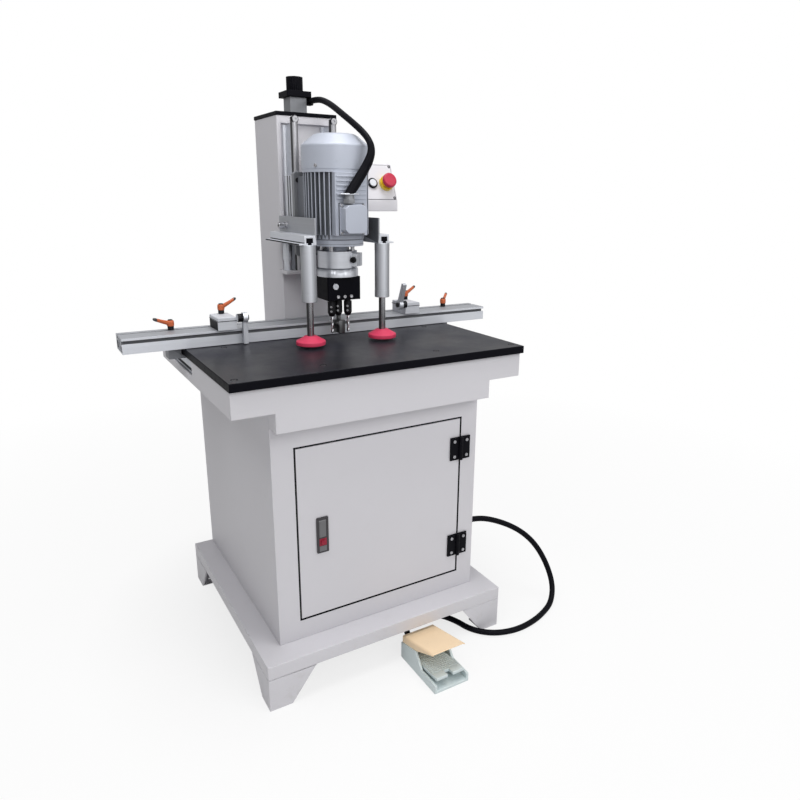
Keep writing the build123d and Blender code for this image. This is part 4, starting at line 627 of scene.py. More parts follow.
def turned(bm, profile, place, axis=UP, steps=64, material=0):
    """Revolves radius and height pairs about an axis through a place; ends on the axis close."""
    turn = Vector(axis).to_track_quat("Z", "Y").to_matrix()
    rings = [[bm.verts.new(Vector(place) + turn @ Vector((radius * x, radius * y, height)))
              for x, y in rays(steps if radius else 1)] for radius, height in profile]
    for low, high in zip(rings, rings[1:]):
        for step in range(steps):
            after = (step + 1) % steps
            corners = dict.fromkeys((low[step % len(low)], low[after % len(low)],
                                     high[after % len(high)], high[step % len(high)]))
            if len(corners) > 2:
                bm.faces.new(list(corners)).material_index = material


def turnings(name, profile, spots, body, coat, steps=64, stands_for=None, angle=SHARP):
    """One piece that has a turned profile at each place and facing."""
    bm = bmesh.new()
    for place, way in spots:
        turned(bm, profile, place, way, steps)
    piece(name, bm, body, coat, stands_for, angle)


def bar(bm, first, second, edge):
    """Box between two opposite corners with broken edges."""
    size = [abs(b - a) for a, b in zip(first, second)]
    middle = [(a + b) / 2 for a, b in zip(first, second)]
    made = bmesh.ops.create_cube(bm, size=1.0,
                                 matrix=Matrix.Translation(middle) @ Matrix.Diagonal((*size, 1)))
    rounded(bm, {side for vert in made["verts"] for side in vert.link_edges}, edge, True)


def boxes(name, spans, body, coat):
    """One piece of boxes, each with its corners and the width of its edges."""
    bm = bmesh.new()
    for span in spans:
        bar(bm, *span)
    piece(name, bm, body, coat)


def eased(points, radii, steps=6):
    """Profile through points, with an arc of each radius at its inner corners."""
    path = [Vector(points[0])]
    for before, corner, after, radius in zip(points, points[1:], points[2:], radii):
        corner = Vector(corner)
        back = (Vector(before) - corner).normalized()
        ahead = (Vector(after) - corner).normalized()
        half = back.angle(ahead) / 2
        middle = corner + (back + ahead).normalized() * radius / sin(half)
        start = (corner + back * radius / tan(half) - middle).normalized()
        stop = (corner + ahead * radius / tan(half) - middle).normalized()
        path += [middle + radius * start.slerp(stop, step / steps) for step in range(steps + 1)]
    return path + [Vector(points[-1])]


# Rows of like parts, by Geometry Nodes


def screw_row(sheet, points, screw, seed):
    """A screw on each point, turned to the point's facing and spun at random."""
    facing = sheet.node("GeometryNodeInputNamedAttribute", {"data_type": "FLOAT_VECTOR"},
                        {"Name": "facing"})
    aim = sheet.node("FunctionNodeAlignRotationToVector", {"axis": "Z"}, {"Vector": facing})
    spin = sheet.node("FunctionNodeRandomValue", {"data_type": "FLOAT"},
                      {"Max": 2 * pi, "Seed": seed}, output=1)
    own = sheet.node("FunctionNodeAxisAngleToRotation", None, {"Axis": UP, "Angle": spin})
    turn = sheet.node("FunctionNodeRotateRotation", {"rotation_space": "LOCAL"},
                      {"Rotation": aim, "Rotate By": own})
    shape = sheet.node("GeometryNodeObjectInfo", None, {"Object": screw}, output="Geometry")
    return {"Points": points, "Instance": shape, "Rotation": turn}


def rib_row(sheet, rib, count, step):
    """Like ribs at an even step."""
    line = sheet.node("GeometryNodeMeshLine", None, {"Count": count, "Offset": step})
    return {"Points": line, "Instance": rib}


# Each row: what lays it and its inputs, of which the last is its finish.
ROWS = {
    "Screws": (screw_row, {"Points": "Geometry", "Screw": "Object", "Seed": "Int",
                           "Finish": "Material"}),
    "Ribs": (rib_row, {"Rib": "Geometry", "Count": "Int", "Step": "Vector", "Finish": "Material"}),
}


def row_tree(title):
    """Tree that lays a row, makes it real and coats it."""
    tree = bpy.data.node_groups.get(title)
    if tree:
        return tree
    tree = bpy.data.node_groups.new(title, "GeometryNodeTree")
    lay, sockets = ROWS[title]
    for name, kind in sockets.items():
        tree.interface.new_socket(name, in_out="INPUT", socket_type=f"NodeSocket{kind}")
    tree.interface.new_socket("Row", in_out="OUTPUT", socket_type="NodeSocketGeometry")
    sheet = NodeSheet(tree)
    given = tree.nodes.new("NodeGroupInput").outputs[:len(sockets)]
    *inputs, coat = (Signal(sheet, socket) for socket in given)
    row = sheet.node("GeometryNodeInstanceOnPoints", None, lay(sheet, *inputs))
    real = sheet.node("GeometryNodeRealizeInstances", None, {"Geometry": row})
    sheet.end("NodeGroupOutput", sheet.node("GeometryNodeSetMaterial", None,
                                            {"Geometry": real, "Material": coat}))
    return tree


def repeated(obj, title, values):
    """Turns an object into a row, with the row's inputs set by their sockets' identifiers."""
    modifier = obj.modifiers.new(title, "NODES")
    modifier.node_group = row_tree(title)
    for item in modifier.node_group.interface.items_tree:
        if item.name in values:
            modifier[item.identifier] = values[item.name]
    return frozen(obj)


def socket_screw(name, radius, height, socket, depth, foot=None):
    """Screw head with a hexagon socket, from millimetres; its top is at the origin."""
    steps, sector = 36, pi / 3
    bm = bmesh.new()
    rings = [[] for _ in range(5)]
    for step, (x, y) in enumerate(rays(steps)):
        turn = 2 * pi * step / steps % sector - sector / 2
        flat = socket * cos(sector / 2) / cos(turn)
        levels = ((flat, depth), (flat, 0), (0.93 * radius, 0), (radius, 0.10 * radius),
                  (foot or radius, height))
        for ring, (reach, drop) in zip(rings, levels):
            ring.append(bm.verts.new(Vector((reach * x, reach * y, -drop)) / 1000))
    bridged(bm, rings)
    return solid(name, bm)


def bolts(name, spots, size, body, coat, stands_for=None):
    """Sets a socket screw at each place and facing, as one piece."""
    mesh = bpy.data.meshes.new(name)
    mesh.from_pydata([place for place, _ in spots], [], [])
    facing = mesh.attributes.new("facing", "FLOAT_VECTOR", "POINT")
    facing.data.foreach_set("vector", [part for _, way in spots for part in way])
    screw = socket_screw(f"{name}_one", *size)
    row = repeated(linked(name, mesh), "Screws",
                   {"Screw": screw, "Finish": finish(coat),
                    "Seed": bpy.context.scene.boring_sizes.screw_seed})
    bpy.data.objects.remove(screw)
    placed(row, body, coat, stands_for)


def ribs(name, bm, count, step, body, coat):
    """Repeats the first rib of a row, as one piece."""
    row = repeated(solid(name, bm), "Ribs", {"Count": count, "Step": step, "Finish": finish(coat)})
    placed(row, body, coat)


# Pieces


class BORING_OT_sheet_metal(bpy.types.Operator):
    """Coats the plinth, cabinet, door, table frame and column, with rounded folds"""

    bl_idname = "boring.sheet_metal"
    bl_label = "Sheet metal"

    door_gap: length("Door gap", "Gap round the door", 0.0015)
    trim_width: length("Trim", "Width of the rubber edge trim round the doorway", 0.0034)
    panel_sheet: length("Panel sheet", "Thickness of the rear covers", 0.0013)
    panel_screw: length("Panel screw", "Screws of the rear covers from the edges", 0.012)
    louvre_low: length("Louvres", "Height of the lowest louvre", 0.50)
    louvre_step: length("Louvre step", "Height from one louvre to the next", 0.015)
    louvre_half: length("Louvre half", "Half the width of a louvre", 0.060)
    louvre_count: whole("Louvre count", "Number of louvres", 9, 1)
    gear_plate: length("Gear plate", "Depth of the mounting plate's front in the cabinet", 0.338)

    def door_trim(self):
        """Rubber trim pushed on the edge of the doorway, in front of the sheet and behind it; its
        black band also paints the door gap's shade.
        """
        (left, right), _, (bottom, top) = box_sides("door_panel")
        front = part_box("cabinet_shell")[0].y
        near, far = self.door_gap, self.door_gap + self.trim_width
        bm = bmesh.new()
        loops = []
        for grow, y in ((near - 0.0002, 0.006), (near - 0.0002, 0), (near, -0.0006),
                        (far - 0.0006, -0.0006), (far, 0), (far, 0.006)):
            loops.append([bm.verts.new((x, front + y, z)) for x, z in
                          ((left - grow, bottom - grow), (right + grow, bottom - grow),
                           (right + grow, top + grow), (left - grow, top + grow))])
        bridged(bm, loops, closed=True)
        piece("door_trim", bm, "frame", "black_rubber")

    def rear_panel(self, name, back, half, low, high, rows):
        """Cover plate screwed on the rear, from half its width and the heights of its edges."""
        lap = 0.0007
        boxes(f"{name}_seal", [((-half - lap, back - 0.0003, low - lap),
                                (half + lap, back + 0.0004, high + lap), 0.0001)],
              "frame", "black_rubber")
        boxes(name, [((-half, back - 0.0002, low), (half, back + self.panel_sheet, high), 0.0005)],
              "frame", "cabinet_coat")
        inset, face = self.panel_screw, back + self.panel_sheet + 0.0022
        rise = (high - low - 2 * inset) / rows
        bolts(f"{name}_screws", [((side * (half - inset), face, low + inset + rise * row), BACK)
                                 for row in range(rows + 1) for side in SIDES],
              (5, 2.6, 2.3, 1.6), "frame", "steel_ground")

    def louvres(self):
        """Row of pressed air louvres in the cabinet's rear cover."""
        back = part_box("cabinet_shell")[1].y + self.panel_sheet
        section = ((-0.0004, 0.0), (0.0050, 0.0), (0.0046, 0.0016), (-0.0004, 0.0090))
        bm = bmesh.new()
        bridged(bm, [[bm.verts.new((x, back + out, self.louvre_low + up)) for out, up in section]
                     for x in (-self.louvre_half, self.louvre_half)])
        ribs("louvres", bm, self.louvre_count, UP * self.louvre_step, "frame", "cabinet_coat")

    def execute(self, context):
        fold = context.scene.boring_sizes.fold_radius
        for node in ("base_frame", "cabinet_shell", "table_frame", "column_shell"):
            dressed(node, "cabinet_coat", fold)
        dressed("door_panel", "cabinet_coat", 0.6 * fold)
        self.door_trim()
        self.rear_panel("column_panel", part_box("column_shell")[1].y,
                        half=0.070, low=0.885, high=1.405, rows=3)
        self.rear_panel("cabinet_panel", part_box("cabinet_shell")[1].y,
                        half=0.240, low=0.205, high=0.690, rows=2)
        self.louvres()
        dressed("column_cap", "black_coat", 0.6 * fold)
        dressed("cabinet_gear", "black_plastic aluminium_z", 0.0,
                lambda middle: int(middle.y > self.gear_plate))
        return {"FINISHED"}


class BORING_OT_table(bpy.types.Operator):
    """Coats the table plate and sets its countersunk screws"""

    bl_idname = "boring.table"
    bl_label = "Table"

    corner_inset: length("Corner screw", "Corner screws from the sides", 0.021)
    rear_inset: length("Rear screw", "Rear screws from the sides", 0.093)

    def execute(self, context):
        (_, right), (front, _), (_, top) = box_sides("table_top")
        # The plate's sides take the darker, less glossy black coat: painted shade.
        dressed("table_top", "table_coat black_coat", 0.0004,
                lambda middle: int(middle.z < top - 0.0004))
        corner = (right - self.corner_inset, front + 0.030)
        inner, rear = (0.158, front + 0.060), (right - self.rear_inset, 0.009)
        places = (corner, inner, rear)
        bolts("table_screws", [((side * x, y, top), UP) for side in SIDES for x, y in places],
              (5.8, 3.6, 2.6, 2, 3), "frame", "steel_oiled", "frame_screws")
        return {"FINISHED"}


class BORING_OT_door_fittings(bpy.types.Operator):
    """Finishes the hinges, their screws and the latch"""

    bl_idname = "boring.door_fittings"
    bl_label = "Door fittings"

    leaf: length("Hinge leaf", "Height of a hinge leaf", 0.066)
    screw_offset: length("Screw offset", "Hinge screws from the pin", 0.020)
    screw_spread: length("Screw spread", "Hinge screws apart", 0.044)
    screw_proud: length("Screw heads", "Tops of the hinge screws from the cabinet", 0.0075)
    bezel_half: length("Latch bezel", "Half the side of the bezel round the latch button", 0.0098)

    def latch_bezel(self):
        """Square red bezel round the latch button and a satin plate under it."""
        (left, right), _, (bottom, top) = box_sides("latch_button")
        x, z, half = (left + right) / 2, (bottom + top) / 2, self.bezel_half
        hole = (right - left) / 2 + 0.0003
        plate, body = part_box("latch_plate")[0], rides_on("latch_plate")
        bm = bmesh.new()
        loops = []
        for square, y in ((False, 0.0006), (False, -0.0005), (True, -0.0005), (True, 0.0006)):
            loops.append([])
            for u, w in rays(48):
                reach = half / max(abs(u), abs(w)) if square else hole
                loops[-1].append(bm.verts.new((x + reach * u, plate.y + y, z + reach * w)))
        bridged(bm, loops, closed=True)
        piece("latch_bezel", bm, body, "latch_red")
        boxes("latch_foot", [((x - half, plate.y - 0.0004, plate.z + 0.0045),
                              (x + half, plate.y + 0.0006, z - half - 0.0012), 0.0003)],
              body, "latch_satin")

    def execute(self, context):
        edge = context.scene.boring_sizes.machined_edge
        for node in ("frame_hinge_leaves", "door_hinge_leaves"):
            dressed(node, "black_plastic", edge)
        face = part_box("cabinet_shell")[0].y - self.screw_proud
        low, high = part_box("frame_hinge_leaves")
        levels = [middle + shift * self.screw_spread for middle in
                  (low.z + self.leaf / 2, high.z - self.leaf / 2) for shift in (-0.5, 0.5)]
        for side, body, stands_for in ((1, "frame", None), (-1, "door", "door_screws")):
            x = PIVOTS["door_hinge"].x + side * self.screw_offset
            bolts(f"hinge_screws_{body}", [((x, face, level), AHEAD) for level in levels],
                  (4.5, 2.6, 2.1, 1.5), body, "steel_ground", stands_for)
        dressed("latch_plate", "latch_plating", 0.6 * edge)
        dressed("latch_lever", "latch_satin", 0.6 * edge)
        dressed("latch_button", "latch_red")
        self.latch_bezel()
        return {"FINISHED"}


class BORING_OT_fence(bpy.types.Operator):
    """Finishes the fence, its rails, the stop blocks and their arms"""

    bl_idname = "boring.fence"
    bl_label = "Fence"

    block_width: length("Stop block", "Width of a stop block", 0.050)
    block_front: length("Block front", "Front of a stop block from the fence", 0.013)
    proud: length("Seam", "How far a stop block's seam stands out", 0.0006)
    pin_radius: length("Pin radius", "Radius that holds the pin of a stop block", 0.0112)
    pin_reach: length("Pin reach", "Where the pin of a stop block ends from its pivot", 0.0195)

    # Lower and upper edges below the lever's pivot.
    seam, end_cover = (0.0100, 0.0084), (0.0330, 0.0110)

    def stop_seam(self, side):
        """Dark seam round a stop block, and a dark plate on its outer end that paints that side's
        shade.
        """
        low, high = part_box(f"{side}_stop_block")
        top = PIVOTS[f"stop_lever_{side}_turn"].z
        front, rear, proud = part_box("fence_beam")[0].y - self.block_front, high.y, self.proud
        left, outer = (low.x, low.x) if side == "left" else (high.x - self.block_width, high.x)
        seam, cover = ([top - drop for drop in drops] for drops in (self.seam, self.end_cover))
        boxes(f"{side}_stop_seam",
              [((left - proud, front - proud, seam[0]),
                (left + self.block_width + proud, rear, seam[1]), 0.0002),
               # Dark plate on the outer end: painted shade.
               ((outer - proud, front + 0.004, cover[0]),
                (outer + proud, rear - 0.004, cover[1]), 0.0003)],
              rides_on(f"{side}_stop_block"), "black_plastic")

    def execute(self, context):
        edge = context.scene.boring_sizes.machined_edge
        front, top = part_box("fence_beam")[0].y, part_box("fence_beam")[1].z
        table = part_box("table_top")[1].z

        # The fence's top takes a darker copy of its aluminium and its front a paler one: painted
        # shade and painted light. Its carriers below the table top take the dull, darker aluminium.
        def fence_part(middle):
            if middle.z > top - 0.0005:
                return 2
            return 3 if middle.z < table else int(middle.y < front + 0.0005)

        dressed("fence_beam", "aluminium_x aluminium_face aluminium_top aluminium_dull slot_shade",
                0.6 * edge, fence_part, slot_reach=0.018)
        dressed("fence_rails", "aluminium_y slot_shade", 0.6 * edge, slot_reach=0.018)
        for side in ("left", "right"):
            pivot = PIVOTS[f"{side}_stop_swing"]

            def stop_part(middle, pivot=pivot):
                away = hypot(middle.y - pivot.y, middle.z - pivot.z)
                return int(away < self.pin_radius
                           and abs(middle.x) < abs(pivot.x) + self.pin_reach)

            dressed(f"{side}_stop_block", "aluminium_face steel_black", edge, stop_part)
            dressed(f"{side}_stop_arm", "aluminium_z", edge)
            self.stop_seam(side)
        return {"FINISHED"}


class BORING_OT_clamp_levers(bpy.types.Operator):
    """Moulds the four clamp levers, hub and arm in one, on a black insert"""

    bl_idname = "boring.clamp_levers"
    bl_label = "Clamp levers"

    fence_left: degrees("Fence left", "Heading of the left fence lever", 208)
    fence_right: degrees("Fence right", "Heading of the right fence lever", 45)
    stop: degrees("Stops", "Heading of the stop levers", 25)
    reach: length("Lever reach", "Length of a lever from its pivot", 0.0535)
    tip_start: length("Lever tip", "Where the grey tip of a lever starts from its pivot", 0.043)

    hub = lathe(0, 10.4, 8.6, 10.4, 9.3, 12, 9.3, 21.5, 8.4, 25, 6.6, 25.6, 0, 25.6)
    insert = (lathe(0, -9.5, 3.4, -9.5, 3.4, 0.4, 7.2, 0.4, 7.9, 1.2, 7.9, 9.4, 7.6, 10.6, 0, 10.6),
              lathe(0, 24, 6.2, 24, 6.2, 26.6, 5.4, 27.6, 3.4, 27.6, 3, 26.2, 0, 26.2))

    def handle(self, name, heading, pivot):
        """Hub and swept arm, joined on a grid and smoothed as a moulding."""
        bm = bmesh.new()
        toward = Vector((cos(heading), sin(heading), 0))
        aside = Vector((-toward.y, toward.x, 0))
        turned(bm, self.hub, pivot, steps=32)
        stations = 18
        rings = []
        for station in range(stations + 1):
            along = station / stations
            rise = 0.0178 + 0.0188 * along ** 1.15
            thick = 0.0060 - 0.0026 * along + 0.0014 * max(0.0, along - 0.6)
            wide = 0.0058 - 0.0022 * sin(pi * min(along, 0.75) / 1.5) + 0.0010 * along
            nose = (1 - max(0.0, (along - 0.86) / 0.14) ** 2.4) ** 0.5
            blunt = max(nose, 0.12)
            rings.append([bm.verts.new(pivot
                                       + toward * (self.reach * along - 0.30 * thick * nose * w)
                                       + UP * (rise + thick * blunt * w)
                                       + aside * (wide * blunt * u)) for u, w in rays(20)])
        bridged(bm, rings)
        bmesh.ops.recalc_face_normals(bm, faces=bm.faces)
        obj = shaped(name, bm)
        joined = obj.modifiers.new("Joined", "REMESH")
        joined.mode = "VOXEL"
        joined.voxel_size = bpy.context.scene.boring_sizes.lever_voxel
        soft = obj.modifiers.new("Moulded", "SMOOTH")
        soft.factor, soft.iterations = 0.5, 7
        frozen(obj)
        obj.data.shade_smooth()
        return obj

    def execute(self, context):
        levers = {"fence_lever_left": self.fence_left, "fence_lever_right": self.fence_right,
                  "stop_lever_left": self.stop, "stop_lever_right": self.stop}
        for node, heading in levers.items():
            pivot = PIVOTS[f"{node}_turn"]
            handle = self.handle(f"{node}_handle", heading, pivot)
            placed(handle, node, "lever_plastic lever_tip", node)
            for face in handle.data.polygons:
                away = hypot(face.center.x - pivot.x, face.center.y - pivot.y)
                face.material_index = int(away > self.tip_start)
            bm = bmesh.new()
            for profile in self.insert:
                turned(bm, profile, pivot)
            piece(f"{node}_insert", bm, node, "steel_black")
        return {"FINISHED"}


class BORING_OT_guides(bpy.types.Operator):
    """Finishes the guide shafts, their supports, the buffers and the feed cylinder"""

    bl_idname = "boring.guides"
    bl_label = "Guides and feed"

    shaft_reach: length("Shafts", "Guide shafts from the middle", 0.056)
    shaft_depth: length("Shaft depth", "Guide shafts behind the origin", 0.097)
    shaft_radius: length("Shaft radius", "Radius that holds a guide shaft", 0.0103)
    shaft_flank: length("Shaft flank", "Where a shaft's dark flanks start from its axis", 0.0070)
    buffer_reach: length("Buffers", "Buffers from the middle", 0.083)
    buffer_depth: length("Buffer depth", "Buffers behind the origin", 0.110)
    buffer_radius: length("Buffer radius", "Radius that holds a buffer", 0.0135)
    screw_depth: length("Screw depth", "Tops of the shaft screws behind the origin", 0.0855)
    screw_drop: length("Screw drop", "Shaft screws below the tops of the shafts", 0.009)

    washer = lathe(0, -5, 9.8, -5, 10.2, -4.6, 10.2, -3, 0, -3)

    def execute(self, context):
        edge = context.scene.boring_sizes.machined_edge

        def guide_part(middle):
            aside = abs(middle.x) - self.shaft_reach
            if hypot(aside, middle.y - self.shaft_depth) < self.shaft_radius:
                # A shaft's flanks take the dark steel: painted shade beside it.
                return 3 if abs(aside) > self.shaft_flank else 1
            away = hypot(abs(middle.x) - self.buffer_reach, middle.y - self.buffer_depth)
            return 2 if away < self.buffer_radius else 0

        dressed("guide_rails", "aluminium_z steel_shaft aluminium_turned steel_oiled", 0.0,
                guide_part)
        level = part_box("guide_rails")[1].z - self.screw_drop
        spots = [((side * self.shaft_reach, self.screw_depth, level), AHEAD) for side in SIDES]
        bolts("shaft_screws", spots, (8.2, 4, 3.4, 2.4), "frame", "steel_shaft")
        turnings("shaft_washers", self.washer, spots, "frame", "black_plastic", 48)
        dressed("feed_cylinder", "aluminium_dull", edge)
        dressed("cylinder_flange", "black_coat", edge)
        dressed("stroke_knob", "black_plastic")
        dressed("feed_rod", "steel_ground")
        return {"FINISHED"}


class BORING_OT_motor(bpy.types.Operator):
    """Paints the motor and makes its fan cover, terminal lid, cast ribs and gland"""

    bl_idname = "boring.motor"
    bl_label = "Motor"

    grille_slots: whole("Grille slots", "Air slots in the fan cover", 24, 3)
    slot_outer: length("Slot outer", "Outer ends of the air slots from the middle", 0.043)
    slot_inner: length("Slot inner", "Inner ends of the air slots from the middle", 0.019)
    slot_width: degrees("Slot width", "Angle across one air slot", 7)
    cover_sheet: length("Cover sheet", "Sheet thickness of the fan cover", 0.002)
    shoulder_rise: length("Shoulder rise", "Height of the fan cover's sloping shoulder", 0.028)
    shoulder_run: length("Shoulder run", "Inward run of the fan cover's shoulder", 0.035)
    screw_heading: degrees("Cover screws", "Heading of the first screw", 31)
    rib_pitch: length("Rib pitch", "Step of the cast ribs above the terminal lid", 0.0105)
    rib_half: length("Rib half", "Half the length of the cast ribs", 0.041)
    corner_cut: length("Lid corners", "Cut across the corners of the terminal lid", 0.0095)

    fins = (1.1345, 1.2855)
    # Housing faces beyond this reach aside and depth behind get painted shade.
    dark_flank = (0.036, 0.009)
    # Heights and radii of dark rings that paint shade lines round the motor flange.
    flange_shade_heights = ((1.1206, 1.1229), (1.1100, 1.1110))
    shade_ring_radii = (0.0680, 0.0703)
    gland_place = (-0.012, -0.140)
    gland_level, boot_level = 1.2325, 1.2351
    gland_nut = lathe(0, 0, 14.6, 0, 15.4, 1.2, 15.4, 9.8, 14.6, 11.2, 0, 11.2)
    gland_flange = lathe(0, 0, 24, 0, 26, 0.8, 26.4, 2.1, 25.6, 3.5, 23.6, 4.1, 0, 4.1)

    def fan_cover(self):
        """Pressed sheet cover: straight wall, sloping shoulder and a slotted top."""
        centre = PIVOTS["main_spin"]
        low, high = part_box("fan_cover")
        wall, top = (high.x - low.x) / 2, high.z
        profile = eased(((wall, low.z), (wall, top - self.shoulder_rise),
                         (wall - self.shoulder_run, top), (self.slot_outer, top)), (0.008, 0.024))
        headings = [2 * pi * slot / self.grille_slots + side * self.slot_width / 2
                    for slot in range(self.grille_slots) for side in SIDES]
        bm = bmesh.new()
        rings = [[bm.verts.new((centre.x + radius * cos(turn), centre.y + radius * sin(turn), rise))
                  for turn in headings] for radius, rise in (*profile, (self.slot_inner, top))]
        for lower, upper in zip(rings, rings[1:]):
            for step in range(len(lower)):
                if upper is rings[-1] and step % 2 == 0:
                    continue
                after = (step + 1) % len(lower)
                bm.faces.new((lower[step], lower[after], upper[after], upper[step]))
        bm.faces.new(rings[-1])
        obj = shaped("fan_cover_pressing", bm)
        sheet = obj.modifiers.new("Sheet", "SOLIDIFY")
        sheet.thickness, sheet.offset = self.cover_sheet, -1.0
        smoothed(frozen(obj))
        placed(obj, "head", "motor_coat", "fan_cover")
        reach, level = wall + 0.0024, low.z + 0.0075
        bolts("cover_screws", [((centre.x + x * reach, centre.y + y * reach, level), (x, y, 0))
                               for x, y in rays(4, self.screw_heading)],
              (4.6, 3, 2.1, 1.5), "head", "steel_turned")

    def terminal_lid(self):
        """Cast lid with cut corners on a flange that is screwed down at its corners."""
        (left, right), (front, back), (low, high) = box_sides("terminal_lid")
        seat, inset, cut = back - 0.005, 0.0028, self.corner_cut
        bm = bmesh.new()
        bar(bm, (left, seat, low), (right, back, high), 0.0010)
        middle, x, z = (low + high) / 2, right - inset, (high - low) / 2 - inset
        outline = ((-x + cut, -z), (x - cut, -z), (x, -z + cut), (x, z - cut),
                   (x - cut, z), (-x + cut, z), (-x, z - cut), (-x, -z + cut))
        bridged(bm, [[bm.verts.new((u * scale, y, middle + w * scale)) for u, w in outline]
                     for y, scale in ((seat + 0.001, 1.0), (front + 0.0026, 0.975),
                                      (front + 0.0009, 0.955), (front, 0.915))])
        piece("terminal_lid_casting", bm, "head", "motor_coat", "terminal_lid",
              radians(30))
        grow, corner = 0.0011, 0.0042
        boxes("lid_gasket", [((left - grow, back - 0.0014, low - grow),
                              (right + grow, back + 0.0002, high + grow), 0.0003)],
              "head", "black_rubber")
        bolts("lid_screws", [((u, seat - 0.0032, w), AHEAD) for u in (left + corner, right - corner)
                             for w in (low + corner, high - corner)],
              (3.6, 3.6, 1.7, 1.4), "head", "steel_turned", "head_screws")

    def gland(self, lid_high):
        """Nut on the terminal lid and the narrow flange over it, which carries the boot."""
        x, y = self.gland_place
        turnings("gland_nut", self.gland_nut, [((x, y, lid_high), UP)], "head", "aluminium_dull",
                 6)
        bm = bmesh.new()
        turned(bm, self.gland_flange, (x, y, self.gland_level), steps=48)
        for vert in bm.verts:
            vert.co.y = (vert.co.y + y) / 2
        piece("gland_flange", bm, "head", "aluminium_turned")

    def execute(self, context):
        cast = context.scene.boring_sizes.cast_edge
        aside, behind = self.dark_flank
        # Painted shade on the housing's rear flanks and between its fins.
        dressed("motor_housing", "motor_coat fin_shade", 0.4 * cast,
                lambda middle: int(middle.y > behind and abs(middle.x) > aside),
                slot_reach=0.012, slot_zone=self.fins)
        self.fan_cover()
        self.terminal_lid()
        # Dark rings round the motor flange: painted shade lines.
        centre = PIVOTS["main_spin"]
        bm = bmesh.new()
        inner, outer = self.shade_ring_radii
        for low, high in self.flange_shade_heights:
            ring = ((inner, low), (outer, low), (outer, high), (inner, high), (inner, low))
            turned(bm, ring, (centre.x, centre.y, 0), steps=96)
        piece("flange_seams", welded(bm), "head", "fin_shade")
        dressed("motor_rotor", "steel_ground")
        _, (_, back), (_, lid_high) = box_sides("terminal_lid")
        half, low = self.rib_half, lid_high + 0.010
        bm = bmesh.new()
        bar(bm, (-half, back - 0.0026, low), (half, back + 0.001, low + 0.004), 0.0009)
        ribs("terminal_ribs", bm, 6, UP * self.rib_pitch, "head", "motor_coat")
        dressed("conduit_boot", "black_rubber aluminium_dull", 0.0,
                lambda middle: int(middle.z < self.boot_level))
        self.gland(lid_high)
        return {"FINISHED"}


